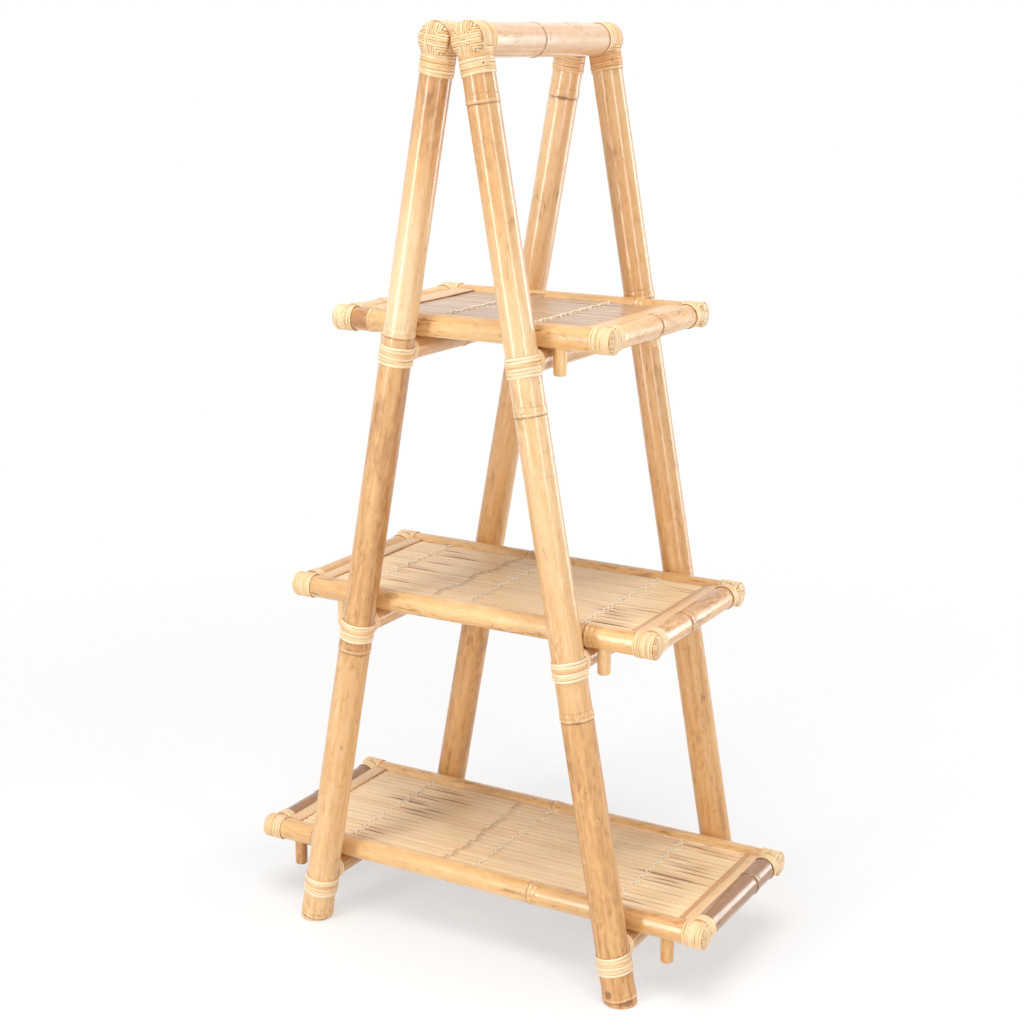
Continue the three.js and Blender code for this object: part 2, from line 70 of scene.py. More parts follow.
@dataclass(frozen=True)
class StandSizes:
    """The stand's sizes in millimetres, as its solids have them."""

    fit: float = 0.3
    bar_height: float = 1361.0
    foot_half_spread: float = 272.0
    pole_spacing: float = 379.0
    pole_top: float = 23.0
    pole_foot: float = 24.75
    bar: float = 24.0
    rung: float = 17.0
    rail: float = 17.5
    peg: float = 9.75
    tie: float = 3.0
    cane_wall: float = 1.5
    saddle_trim: float = 12.0
    bar_overhang: float = 19.0
    bar_ring: float = -28.0
    bar_cap_wall: float = 9.0
    bar_cap_dome: float = 13.0
    wrap_below_bar: float = 23.0
    lashing_height: float = 28.0
    knob_length: float = 8.0
    peg_reach: float = 37.0
    peg_round: float = 2.5
    end_rail_inset: float = 20.0
    corner_sleeve: float = 36.0
    corner_collar: float = 12.0
    corner_wall: float = 1.7
    corner_cap_dome: float = 6.0
    corner_cap_wall: float = 4.0
    mat_drop: float = 7.5
    slat_thickness: float = 5.0
    bearer_width: float = 14.0
    bearer_height: float = 8.0
    tie_place: float = 62.0
    frames_shift: float = 7.0
    skin: float = 0.1
    bar_skin: float = 0.15
    peg_skin: float = 0.05
    cane_seat: float = 0.1
    corner_seat: float = 0.05

    @property
    def pole_side(self) -> float:
        """Middle of the stand to the axis of a front or back pole."""
        return self.pole_spacing / 2

    @property
    def bar_side(self) -> float:
        """Middle plane to the axis of a top bar."""
        return self.bar + self.fit + self.cane_wall + self.fit / 2

    @property
    def lean(self) -> float:
        """The angle of a ladder frame to the vertical."""
        return math.atan((self.foot_half_spread - self.bar_side) / self.bar_height)

    @property
    def bar_half(self) -> float:
        """Half the length of a top bar."""
        return self.pole_side + self.bar_overhang

    def down(self, height: float) -> float:
        """Distance along a pole from the bar's axis to a height above the floor."""
        return (self.bar_height - height) / math.cos(self.lean)

    def pole_radius(self, place: float | np.ndarray) -> float | np.ndarray:
        """A pole's radius at a place on its axis, which runs down from 0 at the bar."""
        return self.pole_top + (self.pole_foot - self.pole_top) * (-place / self.down(0))


@dataclass(frozen=True)
class TraySizes:
    """One tray, in millimetres, with the places of its node rings."""

    name: str
    rung_height: float
    length: float
    side_gap: float
    peg_play: float
    slip: float
    lashing_drop: float
    slats: int
    stitches: tuple[float, ...]
    strip_width: float
    front: tuple[float, ...]
    back: tuple[float, ...]
    left: tuple[float, ...]
    right: tuple[float, ...]
    left_rung: tuple[float, ...]
    right_rung: tuple[float, ...]
    slat_node: float
    tone: float
    # How strong the painted shade of the gaps on the slats is; it also sets the stains on the long rails.
    stain_and_gap_shade: float
    end_tone: float


SIZES = StandSizes()
TRAYS = (
    TraySizes(
        name="upper", rung_height=928.0, length=466.0, side_gap=1.5, peg_play=13.0, slip=-4.5,
        lashing_drop=3.5, slats=17, stitches=(-69.0, 81.0), strip_width=42.0,
        front=(-169.0,), back=(120.0,), left=(-60.0,), right=(5.0,), left_rung=(-12.0,), right_rung=(45.0,),
        slat_node=-400.0, tone=0.45, stain_and_gap_shade=0.25, end_tone=0.45,
    ),
    TraySizes(
        name="middle", rung_height=502.0, length=629.0, side_gap=2.5, peg_play=18.0, slip=-11.5,
        lashing_drop=5.0, slats=18, stitches=(-200.0, -12.0, 182.0), strip_width=27.0,
        front=(-203.0, 202.0), back=(-57.0,), left=(40.0,), right=(-30.0,), left_rung=(60.0,),
        right_rung=(-70.0,), slat_node=-75.0, tone=0.1, stain_and_gap_shade=0.9, end_tone=0.6,
    ),
    TraySizes(
        name="lower", rung_height=75.0, length=790.0, side_gap=7.0, peg_play=44.0, slip=-7.0,
        lashing_drop=14.0, slats=19, stitches=(-238.0, -6.0, 233.0), strip_width=27.0,
        front=(-295.0, 104.0), back=(-9.0,), left=(-20.0,), right=(50.0,), left_rung=(-50.0,),
        right_rung=(20.0,), slat_node=-62.0, tone=0.12, stain_and_gap_shade=1.0, end_tone=0.95,
    ),
)
POLE_RINGS = {
    "left_front": (9.0, 466.0, 953.0),
    "left_back": (44.0, 459.0, 875.0, 1278.0),
    "right_front": (9.0, 426.0, 859.0, 1279.0),
    "right_back": (9.0, 485.0, 974.0),
}
# How ripe each pole looks, 0 pale to 1 brown, at heights above the floor.
POLE_TONES = {
    "left_front": (
        (0, 0.35), (460, 0.65), (472, 0.8), (900, 0.78), (950, 0.7), (962, 0.22), (1100, 0.28),
        (1180, 0.55), (1300, 0.8),
    ),
    "left_back": ((0, 0.78), (440, 0.75), (470, 0.7), (860, 0.6), (890, 0.52), (1270, 0.42), (1290, 0.5)),
    "right_front": (
        (0, 0.85), (260, 0.8), (420, 0.72), (432, 0.55), (690, 0.5), (855, 0.45), (1008, 0.34),
        (1190, 0.64), (1275, 0.66), (1285, 0.72),
    ),
    "right_back": ((0, 0.68), (184, 0.66), (480, 0.6), (490, 0.68), (680, 0.65), (970, 0.52), (1190, 0.62)),
}
# Knots and stains that stand out on a pole: height above the floor, turn round the pole in
# degrees from +X to +Y, reach along and across in millimetres, and strength.
POLE_STAINS = {
    "left_front": ((905, -40, 10, 2.5, 0.6), (470, -70, 5, 14, 0.6), (12, -60, 6, 20, 0.5)),
    "left_back": ((1276, -60, 5, 16, 0.8), (430, -80, 12, 3, 0.6)),
    "right_front": (
        (20, -100, 6, 5.5, 1.6), (5, -35, 6, 16, 1.0), (426, -60, 4, 18, 0.6), (640, -75, 4, 5, 0.5),
    ),
    "right_back": (
        (893, -94, 9, 2.5, 0.8), (868, -73, 14, 2.5, 0.65), (844, -97, 8, 3.5, 0.75),
        (815, -80, 13, 2.2, 0.6), (300, -50, 9, 3, 0.6), (284, -68, 10, 2, 0.6),
    ),
}
# How glossy the lacquer is at heights above the floor: the poles are worn dull lower down.
POLE_GLOSS = ((0, 0.25), (350, 0.35), (600, 0.55), (900, 0.8), (1300, 1.0))


# ---------------------------------------------------------------- shader tools
def colour(code: str) -> tuple[float, float, float, float]:
    """A screen colour such as #d9a565 as the linear colour that a shader takes.

    Args:
        code: the colour as six hexadecimal digits after a hash sign.

    Returns:
        Red, green, blue and an opacity of one.
    """
    parts = [int(code[at : at + 2], 16) / 255 for at in (1, 3, 5)]
    linear = [p / 12.92 if p <= 0.04045 else ((p + 0.055) / 1.055) ** 2.4 for p in parts]
    return (linear[0], linear[1], linear[2], 1.0)


class Sock:
    """The output of a shader node. On numbers it adds, subtracts, multiplies and divides."""

    def __init__(self, dress: "Dress", socket: bpy.types.NodeSocket) -> None:
        """Keeps the socket and the shader that it belongs to."""
        self.dress = dress
        self.socket = socket

    def _sum(self, operation: str, first: "Sock | float", second: "Sock | float") -> "Sock":
        """One step of arithmetic as a Math node."""
        return self.dress.node("ShaderNodeMath", {"operation": operation}, {0: first, 1: second})

    def __add__(self, other: "Sock | float") -> "Sock":
        """self + other"""
        return self._sum("ADD", self, other)

    def __radd__(self, other: float) -> "Sock":
        """other + self"""
        return self._sum("ADD", other, self)

    def __sub__(self, other: "Sock | float") -> "Sock":
        """self - other"""
        return self._sum("SUBTRACT", self, other)

    def __rsub__(self, other: float) -> "Sock":
        """other - self"""
        return self._sum("SUBTRACT", other, self)

    def __mul__(self, other: "Sock | float") -> "Sock":
        """self * other"""
        return self._sum("MULTIPLY", self, other)

    def __rmul__(self, other: float) -> "Sock":
        """other * self"""
        return self._sum("MULTIPLY", other, self)

    def __truediv__(self, other: "Sock | float") -> "Sock":
        """self / other"""
        return self._sum("DIVIDE", self, other)

    def __rtruediv__(self, other: float) -> "Sock":
        """other / self"""
        return self._sum("DIVIDE", other, self)

    def __abs__(self) -> "Sock":
        """The size of self without its sign."""
        return self._sum("ABSOLUTE", self, 0.0)

    def upto(self, most: "Sock | float") -> "Sock":
        """self, or the given value where that is less."""
        return self._sum("MINIMUM", self, most)

    def atleast(self, least: "Sock | float") -> "Sock":
        """self, or the given value where that is more."""
        return self._sum("MAXIMUM", self, least)


class Dress:
    """The shader of one material while it is being made."""

    def __init__(self, name: str) -> None:
        """Starts an empty material.

        Args:
            name: the material's name.
        """
        self.material = bpy.data.materials.new(name)
        self.material.use_nodes = True
        self.tree = self.material.node_tree
        self.tree.nodes.clear()

    def node(self, kind: str, settings: dict, inputs: dict, output: int | str = 0) -> Sock:
        """Adds a node.

        Args:
            kind: the node's type.
            settings: its settings, set before its sockets. "stops" are a colour ramp's.
            inputs: values or links, by the socket's name or number.
            output: which output to return.

        Returns:
            The node's output.
        """
        made = self.tree.nodes.new(kind)
        for key, setting in settings.items():
            if key == "stops":
                self._set_stops(made.color_ramp, setting)
            else:
                setattr(made, key, setting)
        for key, value in inputs.items():
            if isinstance(value, Sock):
                self.tree.links.new(value.socket, made.inputs[key])
            else:
                made.inputs[key].default_value = value
        return Sock(self, made.outputs[output])

    @staticmethod
    def _set_stops(ramp: bpy.types.ColorRamp, stops: Sequence[tuple[float, str]]) -> None:
        """Gives a colour ramp its stops.

        Args:
            ramp: the ramp.
            stops: each stop's place and screen colour.
        """
        while len(ramp.elements) > 1:
            ramp.elements.remove(ramp.elements[-1])
        for index, (place, code) in enumerate(stops):
            stop = ramp.elements[0] if index == 0 else ramp.elements.new(place)
            stop.position = place
            stop.color = colour(code)

    def fact(self, name: str) -> Sock:
        """A number that the mesh holds at each point."""
        return self.node("ShaderNodeAttribute", {"attribute_name": name}, {}, "Fac")

    def grain(self, across: float, along: float) -> Sock:
        """The place in the grain of the fibres.

        Args:
            across: how much it is stretched across the fibres.
            along: how much along them.

        Returns:
            The place.
        """
        place = self.node("ShaderNodeAttribute", {"attribute_name": "grain"}, {}, "Vector")
        stretch = {0: place, 1: (across, across, along)}
        return self.node("ShaderNodeVectorMath", {"operation": "MULTIPLY"}, stretch)

    def noise(self, across: float, along: float, detail: float = 2.0, twist: float = 0.0) -> Sock:
        """Soft noise drawn out along the grain.

        Args:
            across: patches in a metre across the fibres.
            along: patches in a metre along them.
            detail: how many finer layers lie on top.
            twist: how much the patches wander.

        Returns:
            A value round a half.
        """
        inputs = {"Vector": self.grain(across, along), "Scale": 1.0, "Detail": detail, "Distortion": twist}
        return self.node("ShaderNodeTexNoise", {}, inputs)

    def step(self, value: Sock, low: float, high: float) -> Sock:
        """0 below low, 1 above high and a smooth rise between."""
        inputs = {"Value": value, "From Min": low, "From Max": high}
        return self.node("ShaderNodeMapRange", {"interpolation_type": "SMOOTHSTEP"}, inputs)

    def band(self, value: Sock, centre: float, half: float) -> Sock:
        """1 at the centre, falling to 0 at half a width to either side."""
        share = 1.0 - (abs(value - centre) / half).upto(1.0)
        return share * share

    def ramp(self, value: Sock, stops: Sequence[tuple[float, str]]) -> Sock:
        """A colour from a ramp."""
        return self.node("ShaderNodeValToRGB", {"stops": stops}, {"Fac": value})

    def mix(self, share: Sock | float, first: Sock, second: str | Sock) -> Sock:
        """Turns a colour into another by a share.

        Args:
            share: 0 for the first colour, 1 for the second.
            first: a colour.
            second: another, from a socket or as a screen colour.

        Returns:
            The mixed colour.
        """
        other = second if isinstance(second, Sock) else colour(second)
        inputs = {0: share, 6: first, 7: other}
        return self.node("ShaderNodeMix", {"data_type": "RGBA", "clamp_factor": True}, inputs, 2)

    def bump(self, height: Sock, depth: float, strength: float = 1.0) -> Sock:
        """A normal from a height.

        Args:
            height: the relief, from 0 to 1.
            depth: its depth in millimetres.
            strength: how much of it shows.

        Returns:
            The bent normal.
        """
        inputs = {"Height": height, "Distance": depth * MM, "Strength": strength}
        return self.node("ShaderNodeBump", {}, inputs, "Normal")

    def finish(self, sockets: dict) -> bpy.types.Material:
        """Closes the shader with a Principled surface.

        Args:
            sockets: the surface's values or links.

        Returns:
            The material.
        """
        self.node_out(self.node("ShaderNodeBsdfPrincipled", {}, sockets))
        return self.material

    def node_out(self, surface: Sock) -> None:
        """Links a surface to the material's output."""
        out = self.tree.nodes.new("ShaderNodeOutputMaterial")
        self.tree.links.new(surface.socket, out.inputs["Surface"])


# ---------------------------------------------------------------- finishes
@dataclass(frozen=True)
class CulmFinish:
    """Lacquered bamboo: honey skin with brown streaks, flecks and a dark line at each node."""

    name: str
    straw: str = "#f8dab0"
    honey: str = "#edc592"
    amber: str = "#dca96d"
    brown: str = "#b47b46"
    fleck: str = "#7c4c25"
    end_grain: str = "#dcb98a"
    streaks: float = 0.6
    flecks: float = 0.6
    mottle: float = 0.25
    coat: float = 0.85

    def dress(self) -> bpy.types.Material:
        """Makes the material.

        Returns:
            The material.
        """
        dress = Dress(self.name)
        rim = dress.fact("rim")
        broad = dress.noise(22.0, 2.2, 2.0, 0.5)
        streak = dress.noise(130.0, 5.0, 3.0, 0.6)
        fibre = dress.noise(1300.0, 22.0, 2.0)
        ticks = dress.noise(520.0, 60.0, 1.0)
        blotch = dress.noise(110.0, 38.0, 4.0, 1.0)
        cloud = dress.noise(30.0, 9.0, 1.0)
        ripe = dress.fact("tone") + (broad - 0.5) * 0.7 + (streak - 0.5) * self.streaks
        ripe = ripe + (blotch - 0.5) * (0.3 + self.mottle)
        stops = ((0.0, self.straw), (0.35, self.honey), (0.7, self.amber), (1.0, self.brown))
        base = dress.ramp(ripe, stops)
        base = dress.mix(dress.step(fibre, 0.5, 0.78) * 0.22, base, self.brown)
        stain = dress.step(blotch + (cloud - 0.5) * 0.9, 0.62, 0.86)
        base = dress.mix(stain * self.mottle, base, self.fleck)
        speck = dress.step(ticks + (cloud - 0.5) * 0.3, 0.69, 0.8) * self.flecks
        base = dress.mix(speck, base, self.brown)
        spot = dress.step(dress.fact("mark") + (blotch - 0.5) * 0.9, 0.3, 0.8)
        base = dress.mix(spot * 0.7, base, self.fleck)
        base, groove = self._node_marks(dress, base, blotch, ticks)
        pores = dress.step(dress.noise(900.0, 900.0, 1.0), 0.56, 0.66)
        cut = dress.mix(pores * 0.45, dress.mix(1.0, base, self.end_grain), self.brown)
        base = dress.mix(rim, base, cut)
        shine = dress.fact("gloss")
        rough = (0.48 - 0.16 * shine + (blotch - 0.5) * 0.25 + speck * 0.15).atleast(0.15)
        coat = (shine * self.coat * (1.0 - rim)).atleast(0.0)
        height = fibre * 0.3 + streak * 0.5 + blotch * 0.25 - groove - pores * rim * 0.6
        sockets = {
            "Base Color": base,
            "Roughness": rough + rim * 0.3,
            "Coat Weight": coat,
            "Coat Roughness": 0.13,
            "Normal": dress.bump(height, 0.32, 0.5),
        }
        return dress.finish(sockets)

    def _node_marks(self, dress: Dress, base: Sock, blotch: Sock, ticks: Sock) -> tuple[Sock, Sock]:
        """Draws the dark line, the scar and the stains that lie round a node, and a painted highlight on its
        ridge.

        Args:
            dress: the shader.
            base: the colour of the skin.
            blotch: coarse noise.
            ticks: fine noise drawn out along the culm.

        Returns:
            The colour with the marks, and how deep they are cut.
        """
        ring = dress.fact("ring") + (dress.noise(60.0, 60.0, 2.0) - 0.5) * 0.0035
        line = dress.band(ring, -0.0026, 0.0019)
        scar = dress.band(ring, 0.0118, 0.0013) * dress.step(blotch, 0.45, 0.6)
        halo = dress.band(ring, -0.001, 0.011) * dress.step(blotch, 0.4, 0.65)
        above = dress.band(ring, 0.012, 0.024) * dress.step(ticks, 0.5, 0.72)
        base = dress.mix(halo * 0.5, base, self.brown)
        base = dress.mix(above * 0.55, base, self.brown)
        # A pale band along the node's ridge: a painted highlight.
        base = dress.mix(dress.band(ring, 0.0015, 0.003) * 0.4, base, self.straw)
        base = dress.mix((line * 0.85 + scar * 0.5).upto(0.9), base, self.fleck)
        return base, line * 0.8 + scar * 0.5


@dataclass(frozen=True)
class CaneFinish:
    """Peeled cane strands: cream to orange from strand to strand, with painted shade where they meet."""

    name: str
    cream: str = "#f3d6ac"
    straw: str = "#ecc793"
    orange: str = "#dba163"
    # gap: the colour of the painted shade where strands meet, also laid on worn patches; depth: how strong
    # that shade is.
    gap: str = "#a66d38"
    depth: float = 0.7

    def dress(self) -> bpy.types.Material:
        """Makes the material.

        Returns:
            The material.
        """
        dress = Dress(self.name)
        rim = dress.fact("rim")
        fibre = dress.noise(2200.0, 40.0, 2.0)
        patch = dress.noise(240.0, 26.0, 2.0)
        worn = dress.noise(420.0, 60.0, 1.0)
        tint = dress.fact("tone") + (patch - 0.5) * 0.8
        base = dress.ramp(tint, ((0.0, self.cream), (0.5, self.straw), (1.0, self.orange)))
        base = dress.mix(dress.step(fibre, 0.45, 0.75) * 0.25, base, self.orange)
        base = dress.mix(dress.step(worn, 0.66, 0.78) * 0.45, base, self.gap)
        # Painted shade along each strand's edges, where the strands meet.
        crevice_shade = dress.step(rim + (worn - 0.5) * 0.5, 0.7, 1.05)
        base = dress.mix(crevice_shade * self.depth, base, self.gap)
        height = fibre * 0.5 + patch * 0.5
        sockets = {
            "Base Color": base,
            "Roughness": 0.36 + fibre * 0.2,
            "Coat Weight": (0.4 - rim * 0.35).atleast(0.0),
            "Coat Roughness": 0.2,
            "Normal": dress.bump(height, 0.22, 0.5),
        }
        return dress.finish(sockets)


@dataclass(frozen=True)
class SlatFinish:
    """Split bamboo slats: pinkish tan, with painted shade along the grooves and a wavy node line."""

    name: str
    pale: str = "#ffe2b6"
    tan: str = "#f6cd9e"
    brown: str = "#cf9661"
    # The colour of the painted shade on the slats' sides in the grooves.
    groove: str = "#7d5230"
    fleck: str = "#9a6a3e"
    coat: float = 0.55

    def dress(self) -> bpy.types.Material:
        """Makes the material.

        Returns:
            The material.
        """
        dress = Dress(self.name)
        rim = dress.fact("rim")
        mark = dress.fact("mark")
        ring = dress.fact("ring") + (dress.noise(150.0, 90.0, 2.0) - 0.5) * 0.006
        streak = dress.noise(170.0, 3.0, 3.0)
        fibre = dress.noise(1500.0, 16.0, 2.0)
        ticks = dress.noise(300.0, 45.0, 1.0)
        fade = dress.noise(75.0, 12.0, 2.0)
        tint = dress.fact("tone") + (streak - 0.5) * 0.7 + (fade - 0.5) * 0.3
        base = dress.ramp(tint, ((0.0, self.pale), (0.5, self.tan), (1.0, self.brown)))
        base = dress.mix(dress.step(fibre, 0.45, 0.75) * 0.22, base, self.brown)
        # Painted shade: brown where the gaps open beside the outer stitches, and dark on the slats' sides and
        # edges down in the grooves.
        stain_and_gap_shade = dress.step(mark + (fade - 0.5) * 1.1, 0.25, 1.1)
        edge = dress.step(rim + stain_and_gap_shade * 0.8 + (fade - 0.5) * 0.4, 0.8, 1.3)
        crevice_shade = dress.step(rim + (fade - 0.5) * 0.3, 0.45, 1.0)
        base = dress.mix(stain_and_gap_shade * 0.3 + crevice_shade * 0.34, base, self.brown)
        base = dress.mix(edge * 0.7, base, self.groove)
        base = dress.mix(dress.step(ticks, 0.7, 0.8) * 0.45, base, self.brown)
        line = dress.band(ring, 0.0, 0.0034) * 0.75 + dress.band(ring, 0.005, 0.009) * 0.4
        base = dress.mix((line * dress.step(fade, 0.2, 0.5)).upto(0.8), base, self.fleck)
        shine = dress.fact("gloss")
        height = fibre * 0.4 + streak * 0.6
        sockets = {
            "Base Color": base,
            "Roughness": (0.5 - 0.16 * shine + (streak - 0.5) * 0.2).atleast(0.15),
            "Coat Weight": shine * self.coat,
            "Coat Roughness": 0.2,
            "Normal": dress.bump(height, 0.25, 0.5),
        }
        return dress.finish(sockets)


@dataclass(frozen=True)
class NailFinish:
    """Small iron nails, gone dull and a little rusty."""

    name: str
    iron: str = "#3a332d"
    rust: str = "#6b4a34"

    def dress(self) -> bpy.types.Material:
        """Makes the material.

        Returns:
            The material.
        """
        dress = Dress(self.name)
        patch = dress.noise(900.0, 900.0, 2.0)
        base = dress.ramp(patch, ((0.35, self.iron), (0.7, self.rust)))
        sockets = {
            "Base Color": base,
            "Metallic": 0.7,
            "Roughness": 0.4 + patch * 0.3,
            "Normal": dress.bump(patch, 0.1, 0.5),
        }
        return dress.finish(sockets)


@dataclass(frozen=True)
class FloorFinish:
    """A plain white floor that keeps the shadow near the stand and fades to white further out."""

    name: str
    paint: str = "#f4f3f1"
    keep: float = 0.45
    fade_from: float = 0.7
    fade_to: float = 2.2

    def dress(self) -> bpy.types.Material:
        """Makes the material.

        Returns:
            The material.
        """
        dress = Dress(self.name)
        place = dress.node("ShaderNodeNewGeometry", {}, {}, "Position")
        away = dress.node("ShaderNodeVectorMath", {"operation": "LENGTH"}, {0: place}, "Value")
        far = dress.step(away, self.fade_from, self.fade_to)
        seen = seen_rays(dress)
        glow = seen * (1.0 - self.keep + far * self.keep)
        matt = dress.node("ShaderNodeBsdfDiffuse", {}, {"Color": colour(self.paint)})
        light = dress.node("ShaderNodeEmission", {}, {"Strength": 1.0})
        inputs = {0: glow, 1: matt, 2: light}
        dress.node_out(dress.node("ShaderNodeMixShader", {}, inputs))
        return dress.material


def seen_rays(dress: Dress) -> Sock:
    """Tells which rays show a thing to the eye.

    Args:
        dress: the shader that asks.

    Returns:
        1 for rays by which the eye sees a thing straight, in a gloss or through glass.
    """
    rays = [
        dress.node("ShaderNodeLightPath", {}, {}, name)
        for name in ("Is Camera Ray", "Is Glossy Ray", "Is Transmission Ray")
    ]
    return (rays[0] + rays[1] + rays[2]).upto(1.0)


class Finish(Enum):
    """The finishes of the stand."""

    POLE = CulmFinish("pole_bamboo_skin")
    BAR = CulmFinish("bar_bamboo_skin", straw="#f8dfc2", honey="#efcca6", amber="#dcab7c", mottle=0.15)
    TRAY = CulmFinish("tray_bamboo_skin", straw="#f6d6a2", honey="#edc082", flecks=0.8, mottle=0.5)
    MOTTLED = CulmFinish(
        "mottled_bamboo_skin", straw="#ecc698", honey="#dcae7b", amber="#bd8a58", brown="#96683f",
        fleck="#70462a", flecks=0.5, mottle=0.6,
    )
    # gap is the colour of the painted shade between cane strands; groove is that of the painted shade in the
    # slats' grooves.
    CANE = CaneFinish("peeled_cane")
    LASHING = CaneFinish("lashing_cane", cream="#fbe4c2", straw="#f3d2a2", gap="#c08750", depth=0.6)
    THREAD = CaneFinish("cane_thread", cream="#fff1d8", straw="#fbe0b6", gap="#e3bf92", depth=0.3)
    SLAT = SlatFinish("split_bamboo")
    UPPER_SLAT = SlatFinish("glossy_split_bamboo", pale="#d8b593", tan="#c49f7d", brown="#a98260", coat=0.8)
    BATTEN = SlatFinish("split_cane_strip", pale="#f3d0a4", tan="#e6bc8c", brown="#cb9766", groove="#a67850")
    NAIL = NailFinish("iron_nails")
    WOOD = SlatFinish("hinge_hardwood", pale="#c79a64", tan="#b88a55", brown="#9a7044")


class Wardrobe:
    """Makes each finish's material once."""

    def __init__(self) -> None:
        """Starts with no material made."""
        self.made: dict[Finish, bpy.types.Material] = {}

    def __getitem__(self, finish: Finish) -> bpy.types.Material:
        """The material of a finish, made when it is first asked for.

        Args:
            finish: the finish.

        Returns:
            The material.
        """
        if finish not in self.made:
            self.made[finish] = finish.value.dress()
        return self.made[finish]


# ---------------------------------------------------------------- forms
FAR = 90.0
FACTS = ("tone", "rim", "ring", "gloss", "mark")
X, Y, Z = Vector((1, 0, 0)), Vector((0, 1, 0)), Vector((0, 0, 1))
Level = float | np.ndarray
# A stain on a culm: its place along it, its turn in degrees, its reach along and across, its strength.
Stain = tuple[float, float, float, float, float]
# The relief of a node: height, place along the culm and reach of each swelling or groove.
NODE_RELIEF = ((1.0, 0.0, 1.7), (0.65, 6.0, 5.5), (-0.35, -3.0, 1.2), (-0.3, 11.5, 0.8))


@dataclass
class Patch:
    """A grid of points on a surface in millimetres, with what the shaders read there."""

    points: np.ndarray
    grain: np.ndarray
    tone: Level
    rim: Level
    gloss: Level
    ring: Level = FAR
    mark: Level = 0.0


class Form:
    """The mesh of one piece while it is being made, in millimetres."""

    def __init__(self) -> None:
        """Starts with nothing in it."""
        self.points: list[np.ndarray] = []
        self.grain: list[np.ndarray] = []
        self.facts: dict[str, list[np.ndarray]] = {name: [] for name in FACTS}
        self.faces: list[list[int]] = []
        self.count = 0

    def add(self, patch: Patch, at: Matrix, looped: bool = False) -> "Form":
        """Adds a tube-like patch: its columns go round, its rows run along.

        Args:
            patch: the grid.
            at: where the patch's own axes lie in the stand. They may be mirrored.
            looped: whether the last row meets the first. Otherwise both ends are closed.

        Returns:
            The form itself, so that one line can make and fill it.
        """
        rows, columns = patch.points.shape[:2]
        turn = np.array(at.to_3x3())
        self.points.append(patch.points.reshape(-1, 3) @ turn.T + np.array(at.translation))
        self.grain.append(patch.grain.reshape(-1, 3))
        for name in FACTS:
            self.facts[name].append(np.broadcast_to(getattr(patch, name), (rows, columns)).reshape(-1))
        index = self.count + np.arange(rows * columns).reshape(rows, columns)
        below = index if looped else index[:-1]
        above = np.roll(index, -1, 0) if looped else index[1:]
        corners = [below, np.roll(below, -1, 1), np.roll(above, -1, 1), above]
        faces = np.stack(corners, axis=-1).reshape(-1, 4).tolist()
        if not looped:
            faces += [index[0, ::-1].tolist(), index[-1].tolist()]
        mirrored = at.determinant() < 0
        self.faces.extend(face[::-1] if mirrored else face for face in faces)
        self.count += rows * columns
        return self

    def mesh(self, name: str) -> bpy.types.Mesh:
        """Finishes the mesh in metres, with the facts as attributes.

        Args:
            name: the mesh's name.

        Returns:
            The mesh.
        """
        mesh = bpy.data.meshes.new(name)
        points = np.concatenate(self.points) * MM
        mesh.from_pydata(points.tolist(), [], self.faces)
        grain = mesh.attributes.new("grain", "FLOAT_VECTOR", "POINT")
        grain.data.foreach_set("vector", (np.concatenate(self.grain) * MM).astype(np.float32).ravel())
        for fact in FACTS:
            values = np.concatenate(self.facts[fact]) * (MM if fact == "ring" else 1.0)
            layer = mesh.attributes.new(fact, "FLOAT", "POINT")
            layer.data.foreach_set("value", values.astype(np.float32))
        mesh.polygons.foreach_set("use_smooth", np.ones(len(mesh.polygons), bool))
        mesh.update()
        return mesh


@dataclass
class Bench:
    """Where finished pieces are set down: it knows the materials and keeps the seeds."""

    wardrobe: Wardrobe = field(default_factory=Wardrobe)
    random: np.random.Generator = field(default_factory=lambda: np.random.default_rng(20261))

    def place(
        self, form: Form, name: str, finish: Finish, body: str, nodes: Sequence[str] = (), slot: str = ""
    ) -> None:
        """Makes a piece of a form and hangs it on its body.

        Args:
            form: the piece's mesh.
            name: the piece's name.
            finish: what it is dressed in.
            body: the body that it moves with.
            nodes: the solids that it stands for.
            slot: the record's material slot; not used.
        """
        piece = bpy.data.objects.new(name, form.mesh(name))
        bpy.context.scene.collection.objects.link(piece)
        piece.data.materials.append(self.wardrobe[finish])
        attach(piece, body)
        if nodes:
            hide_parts(*nodes)
        log.info("%s: %d faces on %s", name, len(form.faces), body)

    def shift(self) -> np.ndarray:
        """A place far off in the grain, so that no two pieces look alike."""
        return self.random.uniform(-4000.0, 4000.0, 3)

    def strewn(
        self, count: int, long: float, places: tuple[float, float], reaches: tuple[float, float],
        strengths: tuple[float, float],
    ) -> list[Stain]:
        """Strews narrow brown stains over a culm.

        Args:
            count: how many.
            long: the length that their places are shares of.
            places: the least and the most of those shares.
            reaches: the least and the most reach along the culm.
            strengths: the least and the most strength.

        Returns:
            The stains.
        """
        uniform = self.random.uniform
        return [
            (
                uniform(*places) * long,
                uniform(-180, 180),
                uniform(*reaches),
                uniform(1.5, 3.5),
                uniform(*strengths),
            )
            for _ in range(count)
        ]


def axes(first: Vector, second: Vector, third: Vector, origin: Vector) -> Matrix:
    """A placing from three axes and an origin.

    Args:
        first: the first axis.
        second: the second.
        third: the third, along which culms and windings run.
        origin: where the axes meet.

    Returns:
        The placing.
    """
    made = Matrix((first, second, third)).transposed().to_4x4()
    made.translation = origin
    return made


def facing(up: Vector, out: Vector, origin: Vector) -> Matrix:
    """A placing whose second axis points up and whose third points out."""
    return axes(up.cross(out), up, out, origin)


def chord(radius: float, off: np.ndarray) -> np.ndarray:
    """How far a round bar's surface stands out at a distance off its axis."""
    return np.sqrt(np.maximum(radius**2 - off**2, 0))


